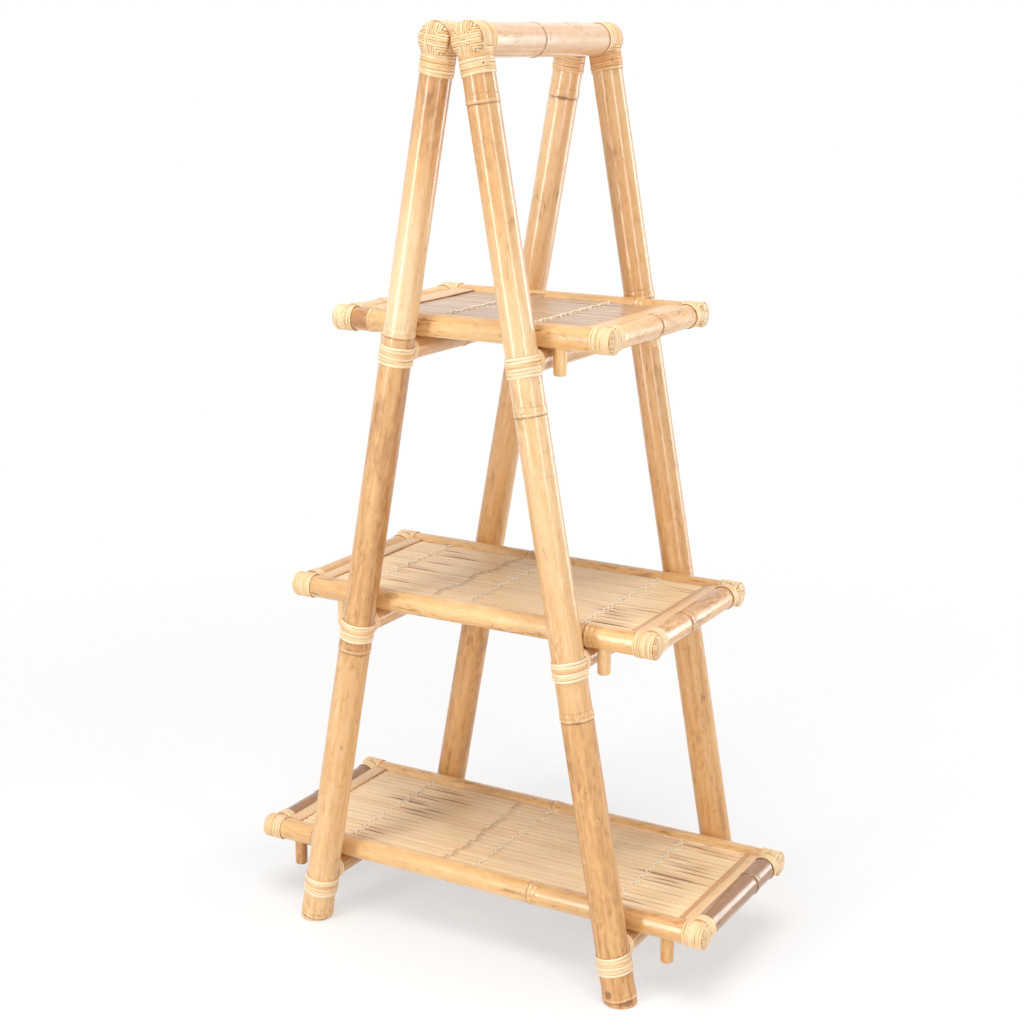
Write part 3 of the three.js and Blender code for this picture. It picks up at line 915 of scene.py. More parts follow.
def bell(away: np.ndarray, reach: float) -> np.ndarray:
    """1 at no distance, fading softly over a reach."""
    return np.exp(-((away / reach) ** 2))


def turned(rows: Sequence[tuple[float, float]], sides: int) -> np.ndarray:
    """Points of a turned surface round the third axis.

    Args:
        rows: each row's radius and height.
        sides: how many points go round.

    Returns:
        The grid of points.
    """
    angle = np.linspace(0, 2 * math.pi, sides, endpoint=False)
    radius, height = np.array(rows, float).T[:, :, None]
    return np.stack([radius * np.cos(angle), radius * np.sin(angle), height + 0 * angle], -1)


def swept(
    line: np.ndarray, up: np.ndarray, side: np.ndarray, rise: np.ndarray, looped: bool = False
) -> tuple[np.ndarray, np.ndarray]:
    """Sweeps a section along a line.

    Args:
        line: points of the line.
        up: which way is up, for each point or for all.
        side: how far each point of the section lies sideways.
        rise: how far it lies upwards.
        looped: whether the line closes on itself.

    Returns:
        The grid of points and each one's place in the grain.
    """
    ahead = np.roll(line, -1, 0) - np.roll(line, 1, 0) if looped else np.gradient(line, axis=0)
    ahead /= np.linalg.norm(ahead, axis=1)[:, None]
    sideways = np.cross(up, ahead)
    sideways /= np.linalg.norm(sideways, axis=1)[:, None]
    upwards = np.cross(ahead, sideways)
    points = line[:, None] + sideways[:, None] * side[:, None] + upwards[:, None] * rise[:, None]
    length = np.linalg.norm(np.diff(line, axis=0, prepend=line[:1]), axis=1).cumsum()
    if looped:
        length = np.abs(length - length[-1] / 2)
    return points, np.stack(np.broadcast_arrays(side, rise, length[:, None]), -1)


@dataclass
class Culm:
    """A length of bamboo along its own third axis."""

    radius: float | Callable[[np.ndarray], np.ndarray]
    start: float
    stop: float
    rings: Sequence[float] = ()
    lowest: Callable[[np.ndarray, np.ndarray], np.ndarray] | None = None
    highest: Callable[[np.ndarray, np.ndarray], np.ndarray] | None = None
    round_start: float = 0.6
    round_stop: float = 0.6
    sides: int = 40
    spacing: float = 14.0
    tones: Sequence[tuple[float, float]] = ((0, 0.4),)
    gloss: Sequence[tuple[float, float]] = ((0, 0.8),)
    stains: Sequence[Stain] = ()
    rough: float = 0.25
    long_wave: float = 210.0
    short_wave: float = 47.0
    ring_rows: tuple[float, float, float] = (-8.0, 18.0, 0.7)
    foot_rows: tuple[float, float, float] = (0.0, 14.0, 1.0)
    end_shares: tuple[float, ...] = (0.02, 0.3, 0.6, 0.85)

    def _radius(self, place: np.ndarray) -> np.ndarray:
        """The smooth radius at places along the culm."""
        return self.radius(place) if callable(self.radius) else np.full_like(place, self.radius)

    def _rows(self) -> tuple[np.ndarray, np.ndarray]:
        """Chooses the rows of points: closer at nodes, stains and ends.

        Returns:
            Each row's share of the radius and its place along the culm.
        """
        inner = [np.arange(self.start, self.stop, self.spacing), [self.stop]]
        inner += [ring + np.arange(*self.ring_rows) for ring in self.rings]
        inner += [place + reach * np.linspace(-2, 2, 9) for place, _, reach, _, _ in self.stains]
        bend = 1 - np.cos(np.linspace(0, math.pi / 2, 5))
        inner += [self.start + self.round_start * bend, self.stop - self.round_stop * bend]
        if self.lowest is not None:
            inner.append(self.start + np.arange(*self.foot_rows))
        places = np.unique(np.round(np.concatenate(inner), 3))
        places = places[(places >= self.start) & (places <= self.stop)]
        shrink = np.array(self.end_shares)
        share = np.concatenate([shrink, np.ones(len(places)), shrink[::-1]])
        ends = np.ones(len(shrink))
        return share, np.concatenate([ends * self.start, places, ends * self.stop])

    def patch(self, bench: Bench) -> Patch:
        """The culm's surface.

        Args:
            bench: gives the random numbers.

        Returns:
            A patch whose rows run along the culm.
        """
        share, along = self._rows()
        angle = np.linspace(0, 2 * math.pi, self.sides, endpoint=False)
        turn, place = np.meshgrid(angle, along)
        part = share[:, None]
        away = np.full(place.shape, FAR)
        for ring in self.rings:
            away = np.where(np.abs(place - ring) < np.abs(away), place - ring, away)
        phases = bench.random.uniform(0, 2 * math.pi, 4)
        wander = np.cos(2 * turn + phases[0] + place / self.long_wave) + 0.6 * np.cos(3 * turn + phases[1])
        wander += 0.8 * np.sin(place / self.short_wave + phases[2]) * np.cos(turn + phases[3])
        relief = sum(height * bell(away - spot, reach) for height, spot, reach in NODE_RELIEF)
        size = (self._radius(place) + relief + self.rough * 0.4 * wander) * part
        across, over = size * np.cos(turn), size * np.sin(turn)
        low = self.lowest(across, over) if self.lowest else self.start
        high = self.highest(across, over) if self.highest else self.stop
        place = np.clip(place, low, high)
        trim = self._rounded(place - low, self.round_start) + self._rounded(high - place, self.round_stop)
        size = np.maximum(size - trim * part, 0.0)
        points = np.stack([size * np.cos(turn), size * np.sin(turn), place], -1)
        tone, gloss = (np.interp(place, *zip(*stops)) for stops in (self.tones, self.gloss))
        cut = (part < 0.99).astype(float)
        return Patch(points, points + bench.shift(), tone, cut, gloss, away, self._marks(place, turn))

    def _marks(self, place: np.ndarray, turn: np.ndarray) -> np.ndarray:
        """How strong the stains are.

        Args:
            place: places along the culm.
            turn: angles round it.

        Returns:
            A strength at each point.
        """
        mark = np.zeros_like(place)
        for centre, angle, along, across, strength in self.stains:
            off = np.angle(np.exp(1j * (turn - math.radians(angle))))
            spot = ((place - centre) / along) ** 2 + (off * self._radius(place) / across) ** 2
            mark += strength * np.exp(-spot)
        return mark

    @staticmethod
    def _rounded(away: np.ndarray, rounding: float) -> np.ndarray:
        """How much of the radius a rounded end takes off at a distance from it."""
        share = np.clip(1 - away / rounding, 0, 1)
        return rounding * (1 - np.sqrt(np.maximum(1 - share**2, 0)))


@dataclass
class Strand:
    """A flat strand of cane with rounded edges, laid along a line on a surface."""

    width: float
    height: float
    tone: float
    gloss: float = 0.5
    fullness: float = 2.4
    shoulder: float = 0.35

    def patch(self, line: np.ndarray, up: np.ndarray, looped: bool, bench: Bench) -> Patch:
        """The strand's surface.

        Args:
            line: points of its underside's middle, in millimetres.
            up: the surface's normal, at each point or for all.
            looped: whether it closes on itself.
            bench: gives the random numbers.

        Returns:
            A patch whose rows run along the strand.
        """
        angle = np.linspace(0, math.pi, 7)
        power = 2 / self.fullness
        side = np.sign(np.cos(angle)) * np.abs(np.cos(angle)) ** power
        rise = self.shoulder + (1 - self.shoulder) * np.abs(np.sin(angle)) ** power
        # rim is 1 at the strand's edges and underside, where the cane finish paints shade.
        rim = np.append(np.abs(side) ** 3, [1, 1])
        side = np.append(side, [-0.8, 0.8]) * self.width / 2
        rise = np.append(rise, [-0.25, -0.25]) * self.height
        points, grain = swept(line, up, side, rise, looped)
        return Patch(points, grain + bench.shift(), self.tone, rim, self.gloss)


@dataclass
class Winding:
    """Cane wound over a thin sleeve round the third axis, with no gap between its turns.

    The sleeve is given by how far it starts after the cane, how far it stops before it, and its tone: it is
    dark, as painted shade where it shows between the turns.
    """

    radius: float
    start: float
    stop: float
    turns: int
    height: float
    sleeve: tuple[float, float, float]
    tilt: float = 0.0
    tones: tuple[float, float] = (0.0, 0.8)
    widths: Sequence[float] = ()
    strand_tones: Sequence[float] = ()
    sides: int = 64
    sleeve_wall: float = 0.25

    def build(self, form: Form, at: Matrix, bench: Bench) -> None:
        """Adds the sleeve and every turn to a form.

        Args:
            form: the form that takes them.
            at: where the winding's axes lie in the stand.
            bench: gives the random numbers.
        """
        low, high, shade = self.start + self.sleeve[0], self.stop - self.sleeve[1], self.sleeve[2]
        inner = self.radius - self.sleeve_wall
        points = turned(((inner, low), (self.radius, low), (self.radius, high), (inner, high)), 48)
        # The sleeve is dark, with a high rim value: painted shade in the crevices between the turns.
        form.add(Patch(points, points + bench.shift(), shade, 0.9, 0.2), at)
        random = bench.random
        shares = np.array(self.widths or random.uniform(0.86, 1.14, self.turns))
        place = self.start
        angle = np.linspace(0, 2 * math.pi, self.sides, endpoint=False)
        up = np.stack([np.cos(angle), np.sin(angle), 0 * angle], -1)
        for index, width in enumerate(shares / shares.sum() * (self.stop - self.start)):
            phase, wave = random.uniform(0, 2 * math.pi, 2)
            line = up * (self.radius + random.uniform(-0.12, 0.12))
            drift = self.tilt * np.cos(angle) + 0.28 * np.sin(angle + phase) + 0.16 * np.sin(3 * angle + wave)
            line[:, 2] = place + width / 2 + drift
            tone = random.uniform(*self.tones)
            if self.strand_tones:
                tone = self.strand_tones[index] + random.uniform(-0.1, 0.1)
            strand = Strand(width * 1.03, self.height, tone)
            form.add(strand.patch(line, up, True, bench), at, looped=True)
            place += width


@dataclass
class WovenCap:
    """A domed cap woven of a standing and a lying band with nested corners between them.

    Its placing has the axes right, up and out, with the top of the dome at the origin.
    """

    radius: float
    dome: float
    pitch: float
    band: int
    lying_over: bool
    extra: bool
    form: Form
    at: Matrix
    bench: Bench
    height: float = 1.1
    fullness: float = 0.6

    def depth(self, away: np.ndarray) -> np.ndarray:
        """The dome's height, counted down from its top, at a distance from its middle."""
        share = np.clip(away / self.radius, 0, 0.9995) ** (2 / self.fullness)
        return self.dome * (np.sqrt(1 - share) - 1)

    def _lay(self, plan: np.ndarray, lift: np.ndarray, width: float, tone: float) -> None:
        """Lays one strand over the dome.

        Args:
            plan: points of its line, seen from outside.
            lift: how far it rises over or dips under the others at each point.
            width: its width as a share of the pitch.
            tone: how dark it is.
        """
        away = np.linalg.norm(plan, axis=1)
        keep = away < self.radius * 0.995
        if keep.sum() < 3:
            return
        plan, lift, away = plan[keep], lift[keep], away[keep]
        step = 0.05
        slope = (self.depth(away + step) - self.depth(np.maximum(away - step, 0))) / (2 * step)
        out = plan / np.maximum(away, 1e-6)[:, None]
        up = np.concatenate([-slope[:, None] * out, np.ones((len(plan), 1))], 1)
        up /= np.linalg.norm(up, axis=1)[:, None]
        line = np.concatenate([plan, self.depth(away)[:, None]], 1) + up * lift[:, None]
        strand = Strand(self.pitch * width, self.height, tone, gloss=0.4)
        self.form.add(strand.patch(line, up, False, self.bench), self.at)

    def _straight(self, fixed: float, start: float, standing: bool) -> np.ndarray:
        """Draws a straight line in plan that ends at the rim.

        Args:
            fixed: its place across.
            start: where it starts.
            standing: whether it runs upwards. Otherwise it runs to the right.

        Returns:
            Its points.
        """
        run = np.linspace(start, self.radius, max(6, int(abs(self.radius - start) / 1.6)))
        other = np.full_like(run, fixed) + 0.12 * np.sin(run / 3 + fixed)
        return np.stack([other, run] if standing else [run, other], -1)

    def build(self) -> None:
        """Adds the cap to its form."""
        self._backing()
        half = self.band * self.pitch / 2
        offsets = (np.arange(self.band) - (self.band - 1) / 2) * self.pitch
        for standing in (True, False):
            over = standing != self.lying_over
            for offset in offsets:
                plan = self._straight(offset, -self.radius, standing)
                run = np.abs(plan[:, 1] if standing else plan[:, 0])
                crossing = np.clip((half + 1.5 - run) / 2.0, 0, 1)
                lift = 0.1 + crossing * (0.55 if over else -0.9)
                self._lay(plan, lift, 0.97, self.bench.random.uniform(0.0, 0.75))
        count = int((self.radius / math.sqrt(2) - half) / self.pitch) + 1
        for right in (-1, 1):
            for upper in (-1, 1):
                for index in range(count):
                    for standing in (True, False):
                        self._corner(right, upper, half + (index + 0.5) * self.pitch, standing)
        if self.extra:
            plan = self._straight(-half - 0.3 * self.pitch, -self.radius, True)
            self._lay(plan, np.full(len(plan), 0.75), 0.8, 0.0)

    def _corner(self, right: int, upper: int, inner: float, standing: bool) -> None:
        """Lays one leg of a nested corner, from its fold out to the rim.

        Args:
            right: 1 in the right-hand half and -1 in the left-hand one.
            upper: 1 in the upper half and -1 in the lower one.
            inner: its place across.
            standing: whether the leg runs upwards.
        """
        plan = self._straight(inner, inner - self.pitch * 0.45, standing) * np.array([right, upper])
        if right * upper * (1 if standing else -1) < 0:
            plan = plan[::-1]
        lift = np.full(len(plan), 0.12 if standing else 0.0)
        self._lay(plan, lift, 0.95, self.bench.random.uniform(0.0, 0.85))

    def _backing(self) -> None:
        """Adds the dome under the strands, dark as painted shade where it shows between them."""
        away = self.radius * np.sin(np.linspace(math.pi / 2, 0.02, 14))
        rows = list(zip(0.98 * away, self.depth(away) - 0.15))
        points = turned([(rows[0][0], rows[0][1] - 1.0), *rows], 48)
        # Dark, with a high rim value: painted shade where the dome shows between strands.
        self.form.add(Patch(points, points + self.bench.shift(), 0.9, 0.85, 0.1), self.at)


def nail(radius: float, bench: Bench) -> Patch:
    """Makes a nail's low round head, standing on its own third axis.

    Args:
        radius: the head's radius.
        bench: gives the random numbers.

    Returns:
        The head.
    """
    rows = ((0.9, -0.8), (1.0, 0.0), (0.92, 0.22), (0.6, 0.4), (0.1, 0.45))
    points = turned([(share * radius, height) for share, height in rows], 14)
    return Patch(points, points + bench.shift(), 1.0, 0.0, 1.0)


def thread(line: np.ndarray, radius: float, tone: float, bench: Bench) -> Patch:
    """Lays a round thread along a line.

    Args:
        line: points of its middle.
        radius: its radius.
        tone: how dark it is.
        bench: gives the random numbers.

    Returns:
        The thread.
    """
    angle = np.linspace(0, 2 * math.pi, 7, endpoint=False)
    points, grain = swept(line, np.array(Z), radius * np.cos(angle), radius * np.sin(angle))
    # The lower half of the thread gets a rim value, so the finish paints shade under it.
    return Patch(points, grain + bench.shift(), tone, np.maximum(-np.sin(angle), 0) * 0.6, 0.4)


# ---------------------------------------------------------------- ladder frames
@dataclass
class LadderFrame:
    """One leaning frame: two poles, a top bar, three rungs and the cane that holds them."""

    side: Side
    bench: Bench
    sizes: StandSizes = SIZES
    foot_spare: float = 6.0
    foot_round: float = 2.2
    bar_round: float = 5.0
    bar_strands: int = 9
    wrap_strands: int = 10
    strand_height: float = 1.25
    lashing_strand: float = 1.6
    knob_strand: float = 1.9
    wrap_top: float = -4.0
    wrap_tilt: float = 0.8
    lashing_tilt: float = 0.6
    knob_run: float = 11.5
    cap_pitch: float = 3.5
    cap_lap: float = 1.2
    cap_inset: float = 1.0
    cap_sink: float = 1.9
    nail_radius: float = 1.1
    nail_spots: tuple[tuple[float, float], ...] = ((200.0, -40.0), (320.0, -33.0))
    cap_nail: tuple[float, float] = (0.52, -0.7)
    fleck_count: int = 26
    lashing_widths: tuple[float, ...] = (3.6, 4.8, 4.4, 5.2, 4.8, 3.6)
    lashing_tones: tuple[float, ...] = (0.0, 0.5, 0.2, 0.7, 0.35, 0.05)

    def __post_init__(self) -> None:
        """Works out where the frame stands."""
        sizes, way = self.sizes, self.side.value
        origin = Vector((sizes.frames_shift + way * sizes.bar_side, 0, sizes.bar_height))
        self.at = Matrix.Translation(origin) @ Matrix.Rotation(-way * sizes.lean, 4, "Y")
        self.body = label(self.side) + "_frame"

    def build(self) -> None:
        """Builds every piece of the frame."""
        for end in End:
            self.pole(end)
            self.top_binding(end)
            for tray in TRAYS:
                self.lashing(tray, end)
        self.top_bar()
        for tray in TRAYS:
            self.rung(tray)

    def corner(self, end: End) -> str:
        """The name of the pole's corner."""
        return f"{label(self.side)}_{label(end)}"

    def pole_at(self, end: End) -> Matrix:
        """Where a pole's own axes lie."""
        return self.at @ Matrix.Translation((0, end.value * self.sizes.pole_side, 0))

    def pole(self, end: End) -> None:
        """Builds a pole: level at the floor, saddled under the bar.

        Args:
            end: which of the frame's poles.
        """
        sizes, corner = self.sizes, self.corner(end)
        floor, top = -sizes.down(0), -sizes.saddle_trim
        slant = math.tan(-self.side.value * sizes.lean)
        seat = sizes.bar + sizes.fit
        stains = [(-sizes.down(height), *stain) for height, *stain in POLE_STAINS[corner]]
        culm = Culm(
            radius=sizes.pole_radius,
            start=floor - self.foot_spare,
            stop=top,
            rings=[-sizes.down(height) for height in POLE_RINGS[corner]],
            lowest=lambda across, over: floor + across * slant,
            highest=lambda across, over: np.minimum(-chord(seat, across), top),
            round_start=self.foot_round,
            tones=[(-sizes.down(height), tone) for height, tone in POLE_TONES[corner]],
            gloss=[(-sizes.down(height), gloss) for height, gloss in POLE_GLOSS],
            stains=stains + self.bench.strewn(self.fleck_count, floor, (0.04, 0.99), (5, 16), (0.35, 0.75)),
        )
        form = Form().add(culm.patch(self.bench), self.pole_at(end))
        name = corner + "_pole"
        self.bench.place(form, name, Finish.POLE, self.body, [name], "pole_bamboo")

    def top_bar(self) -> None:
        """Builds the top bar."""
        sizes = self.sizes
        culm = Culm(
            radius=sizes.bar - sizes.bar_skin,
            start=-sizes.bar_half,
            stop=sizes.bar_half,
            rings=[sizes.bar_ring],
            round_start=self.bar_round,
            round_stop=self.bar_round,
            tones=((-200, 0.62), (0, 0.55), (200, 0.48)),
            gloss=((0, 0.9),),
        )
        form = Form().add(culm.patch(self.bench), self.at @ axes(Z, X, Y, Vector()))
        name = label(self.side) + "_top_bar"
        self.bench.place(form, name, Finish.BAR, self.body, [name], "pole_bamboo")

    def rung(self, tray: TraySizes) -> None:
        """Builds a rung, coped against both poles.

        Args:
            tray: the tray that lies on it.
        """
        sizes = self.sizes
        down, reach = sizes.down(tray.rung_height), sizes.pole_side
        pole = sizes.pole_radius(-down) + sizes.fit
        culm = Culm(
            radius=sizes.rung - sizes.skin,
            start=-reach,
            stop=reach,
            rings=tray.left_rung if self.side is Side.LEFT else tray.right_rung,
            lowest=lambda across, over: chord(pole, over) - reach,
            highest=lambda across, over: reach - chord(pole, over),
            sides=32,
            tones=((-150, 0.7), (0, 0.6), (150, 0.75)),
            gloss=((0, 0.6),),
        )
        form = Form().add(culm.patch(self.bench), self.at @ axes(Z, X, Y, Z * -down))
        name = f"{label(self.side)}_{tray.name}_rung"
        self.bench.place(form, name, Finish.POLE, self.body, [name], "pole_bamboo")

    def top_binding(self, end: End) -> None:
        """Builds the cane round a bar's end and the pole's top, with its woven cap and nails.

        Args:
            end: which end of the bar.
        """
        sizes, bench = self.sizes, self.bench
        form = Form()
        out = Y * end.value
        start = sizes.pole_side - sizes.pole_top
        cap_end = sizes.bar_half + sizes.bar_cap_wall
        rim = cap_end - sizes.bar_cap_dome
        Winding(
            sizes.bar + sizes.fit + sizes.cane_seat, start, rim + self.cap_lap, self.bar_strands,
            self.strand_height, (0.5, 0.2, 0.9),
        ).build(form, self.at @ axes(out.cross(X), X, out, Vector()), bench)
        pole = sizes.pole_radius(-sizes.bar) + sizes.fit + sizes.cane_seat
        low = -(sizes.bar + sizes.wrap_below_bar)
        rough_one = self.side is Side.RIGHT and end is End.BACK
        Winding(
            pole, low, self.wrap_top, self.wrap_strands, self.strand_height, (0.5, 2.0, 0.9),
            tilt=self.side.value * self.wrap_tilt, tones=(0.55, 1.25) if rough_one else (0.0, 0.8),
        ).build(form, self.pole_at(end), bench)
        cap = WovenCap(
            sizes.bar + sizes.fit + sizes.cane_wall - self.cap_inset, sizes.bar_cap_dome - self.cap_inset,
            self.cap_pitch, band=4, lying_over=True, extra=self.side is Side.LEFT, form=form,
            at=self.at @ facing(Z, out, out * (cap_end - self.cap_sink)), bench=bench,
        )
        cap.build()
        name = self.corner(end) + "_top_binding"
        bench.place(form, name, Finish.CANE, self.body, [name], "woven_cane")
        self.nails(end, cap, pole)

    def nails(self, end: End, cap: WovenCap, pole: float) -> None:
        """Builds the nails that hold a top binding.

        Args:
            end: which end of the bar.
            cap: the cap that takes one of them.
            pole: the radius under the cane round the pole.
        """
        across, upwards = (cap.radius * share for share in self.cap_nail)
        height = float(cap.depth(np.hypot(across, upwards))) + self.strand_height
        spot = Matrix.Translation((across, upwards, height))
        form = Form().add(nail(self.nail_radius, self.bench), cap.at @ spot)
        for turn, drop in self.nail_spots:
            angle = math.radians(turn * self.side.value)
            out = Vector((math.cos(angle), math.sin(angle), 0))
            at = self.pole_at(end) @ facing(Z, out, out * (pole + self.strand_height) + Z * drop)
            form.add(nail(self.nail_radius, self.bench), at)
        self.bench.place(form, self.corner(end) + "_top_nails", Finish.NAIL, self.body)

    def lashing(self, tray: TraySizes, end: End) -> None:
        """Builds the cane round a pole at a rung, and the knob round the rung's end.

        Args:
            tray: the tray that lies on the rung.
            end: which of the frame's poles.
        """
        sizes, bench = self.sizes, self.bench
        form = Form()
        down = sizes.down(tray.rung_height)
        middle, half = -down - tray.lashing_drop, sizes.lashing_height / 2
        Winding(
            sizes.pole_radius(middle) + sizes.fit + sizes.cane_seat, middle - half, middle + half,
            len(self.lashing_widths), self.lashing_strand, (0.6, 0.6, 0.7),
            tilt=self.side.value * self.lashing_tilt, widths=self.lashing_widths,
            strand_tones=self.lashing_tones,
        ).build(form, self.pole_at(end), bench)
        inner = sizes.pole_side - sizes.pole_radius(-down) - sizes.knob_length
        out = Y * end.value
        Winding(
            sizes.rung + sizes.fit + sizes.cane_seat, inner, inner + self.knob_run, 2, self.knob_strand,
            (0.4, -0.5, 0.7), tones=(0.0, 0.45),
        ).build(form, self.at @ axes(out.cross(X), X, out, Z * -down), bench)
        name = f"{self.corner(end)}_{tray.name}_lashing"
        bench.place(form, name, Finish.LASHING, self.body, [name], "woven_cane")


@dataclass
class HingeTies:
    """The two wooden ties between the top bars."""

    bench: Bench
    sizes: StandSizes = SIZES

    def build(self) -> None:
        """Builds both ties."""
        sizes = self.sizes
        reach = sizes.bar_side * 0.6
        for end in End:
            culm = Culm(
                radius=sizes.tie,
                start=-reach,
                stop=reach,
                sides=20,
                spacing=2.0,
                rough=0.1,
                tones=((0, 0.5),),
                gloss=((0, 0.2),),
            )
            place = Vector((sizes.frames_shift, end.value * sizes.tie_place, sizes.bar_height))
            form = Form().add(culm.patch(self.bench), axes(Y, Z, X, place))
            name = label(end) + "_hinge_toggle"
            self.bench.place(form, name, Finish.WOOD, "right_frame", [name], "hinge_wood")


# ---------------------------------------------------------------- trays
@dataclass
class Tray:
    """A loose tray: rails with pegs, woven corners and a mat of stitched slats."""

    tray: TraySizes
    bench: Bench
    sizes: StandSizes = SIZES
    rail_round: float = 3.0
    sleeve_strands: int = 9
    collar_strands: int = 4
    strand_height: float = 1.35
    collar_lap: float = 4.0
    cap_pitch: float = 3.3
    cap_lap: float = 1.0
    cap_shrink: tuple[float, float] = (0.9, 0.8)
    cap_sink: float = 1.75
    gap: float = 0.5
    gap_wide: float = 1.1
    gap_reach: float = 48.0
    hole: float = 2.2
    hole_reach: float = 3.6
    row_spacing: float = 10.0
    hole_rows: tuple[float, float, float] = (-9.0, 9.1, 1.5)
    node_pull: float = 0.25
    node_stray: float = 7.0
    node_rise: float = 0.35
    node_reach: float = 2.5
    slat_crown: float = 0.35
    slat_edge: float = 1.5
    slat_squareness: float = 0.45
    thread_radius: float = 1.25
    thread_steps: int = 8
    stitch_reach: float = 3.6
    bearer_strand: float = 6.2
    strip_height: float = 3.4
    edging: float = 8.0
    gap_shade_reach: float = 44.0
    slack_gap: float = 3.2
    slack_place: float = -312.0
    slack_reach: float = 20.0
    rail_tone: float = 0.45
    streak_count: int = 22
    nail_radius: float = 0.9
    nail_shares: tuple[float, ...] = (-0.72, -0.2, 0.78)

    def __post_init__(self) -> None:
        """Works out where the tray lies."""
        sizes, tray = self.sizes, self.tray
        height = tray.rung_height + sizes.rung + sizes.fit + sizes.rail
        pole = sizes.pole_radius(-sizes.down(height))
        rung_place = sizes.bar_side + (sizes.bar_height - tray.rung_height) * math.tan(sizes.lean)
        self.rail_side = sizes.pole_side - pole - tray.side_gap - sizes.rail
        self.peg_place = rung_place + sizes.rung + tray.peg_play + sizes.peg
        self.tip = tray.length / 2
        self.end_place = self.tip - sizes.end_rail_inset
        self.top = sizes.rail - sizes.mat_drop
        self.seat = sizes.rail + sizes.fit
        self.mat_side = self.rail_side - self.seat
        self.pitch = 2 * self.mat_side / tray.slats
        self.at = Matrix.Translation((tray.slip + sizes.frames_shift, 0, height))
        self.body = tray.name + "_tray"
        self.prefix = tray.name + "_tray_"

    def build(self) -> None:
        """Builds every piece of the tray."""
        for end in End:
            self.long_rail(end)
            for side in Side:
                self.binding(side, end)
        for side in Side:
            self.end_rail(side)
        self.slats()
        self.bearers()
        self.battens()
        self.stitches()

    def long_rail(self, end: End) -> None:
        """Builds a long rail and its two pegs.

        Args:
            end: whether it is the front or the back one.
        """
        sizes, tray, bench = self.sizes, self.tray, self.bench
        reach = self.tip - sizes.corner_cap_wall
        tone, first = self.rail_tone, tray.front[0]
        dark_end = tone + (0.45 if end is End.FRONT and tray.name == "upper" else 0.12)
        worn = 0.6 + tray.stain_and_gap_shade * 0.4
        culm = Culm(
            radius=sizes.rail - sizes.skin,
            start=-reach,
            stop=reach,
            rings=tray.back if end is End.BACK else tray.front,
            round_start=self.rail_round,
            round_stop=self.rail_round,
            sides=36,
            tones=(
                (-reach, dark_end), (first - 4, dark_end), (first + 4, tone),
                (-reach / 3, tone), (0, tone - 0.08), (reach, tone + 0.1),
            ),
            gloss=((0, 0.8),),
            stains=bench.strewn(self.streak_count, reach, (-1, 1), (7, 24), (0.4 * worn, 0.9 * worn)),
        )
        place = Y * end.value * self.rail_side
        form = Form().add(culm.patch(bench), self.at @ axes(Y, Z, X, place))
        for side in Side:
            peg = Culm(
                radius=sizes.peg - sizes.peg_skin,
                start=-(sizes.rail + sizes.peg_reach),
                stop=-sizes.rail * 0.75,
                round_start=sizes.peg_round,
                sides=28,
                rough=0.15,
                tones=((0, tone + (0.35 if tray.name == "lower" else -0.2)),),
                gloss=((0, 0.5),),
            )
            spot = place + X * side.value * self.peg_place
            form.add(peg.patch(bench), self.at @ Matrix.Translation(spot))
        name = f"{self.prefix}{label(end)}_rail"
        bench.place(form, name, Finish.TRAY, self.body, [name], "tray_bamboo")

    def end_rail(self, side: Side) -> None:
        """Builds an end rail, coped against both long rails.

        Args:
            side: the tray's end.
        """
        tray, reach, seat = self.tray, self.rail_side, self.seat
        culm = Culm(
            radius=self.sizes.rail - self.sizes.skin,
            start=-reach,
            stop=reach,
            rings=tray.right if side is Side.RIGHT else tray.left,
            lowest=lambda across, over: chord(seat, across) - reach,
            highest=lambda across, over: reach - chord(seat, across),
            sides=36,
            tones=((-100, tray.end_tone), (0, tray.end_tone + 0.2), (100, tray.end_tone + 0.05)),
            gloss=((0, 0.7),),
        )
        place = X * side.value * self.end_place
        form = Form().add(culm.patch(self.bench), self.at @ axes(Z, X, Y, place))
        finish = Finish.MOTTLED if tray.name == "lower" else Finish.TRAY
        name = f"{self.prefix}{label(side)}_rail"
        self.bench.place(form, name, finish, self.body, [name], "tray_bamboo")

    def binding(self, side: Side, end: End) -> None:
        """Builds the cane round a corner, with its woven cap.

        Args:
            side: the corner's end of the tray.
            end: whether it is a front or a back corner.
        """
        sizes, bench = self.sizes, self.bench
        form = Form()
        out, away = X * side.value, Y * end.value
        corner = away * self.rail_side
        under = self.seat + sizes.corner_seat
        rim = self.tip - sizes.corner_cap_dome
        start = self.tip - sizes.corner_sleeve
        Winding(
            under, start, rim + self.cap_lap, self.sleeve_strands, self.strand_height,
            (0.5, 0.2, 0.8), tones=(0.0, 0.6),
        ).build(form, self.at @ facing(Y, out, corner), bench)
        start = self.rail_side - sizes.rail - sizes.corner_collar
        Winding(
            under, start, start + sizes.corner_collar + self.collar_lap, self.collar_strands,
            self.strand_height, (0.5, -7.5, 0.8), tones=(0.0, 0.4),
        ).build(form, self.at @ axes(away.cross(X), X, away, out * self.end_place), bench)
        inset, lower = self.cap_shrink
        WovenCap(
            self.seat + sizes.corner_wall - inset, sizes.corner_cap_dome - lower, self.cap_pitch,
            band=3, lying_over=end is End.BACK, extra=side is Side.RIGHT, form=form,
            at=self.at @ facing(Z, out, corner + out * (self.tip - self.cap_sink)), bench=bench,
        ).build()
        name = f"{self.prefix}{label(end)}_{label(side)}_binding"
        bench.place(form, name, Finish.CANE, self.body, [name], "woven_cane")

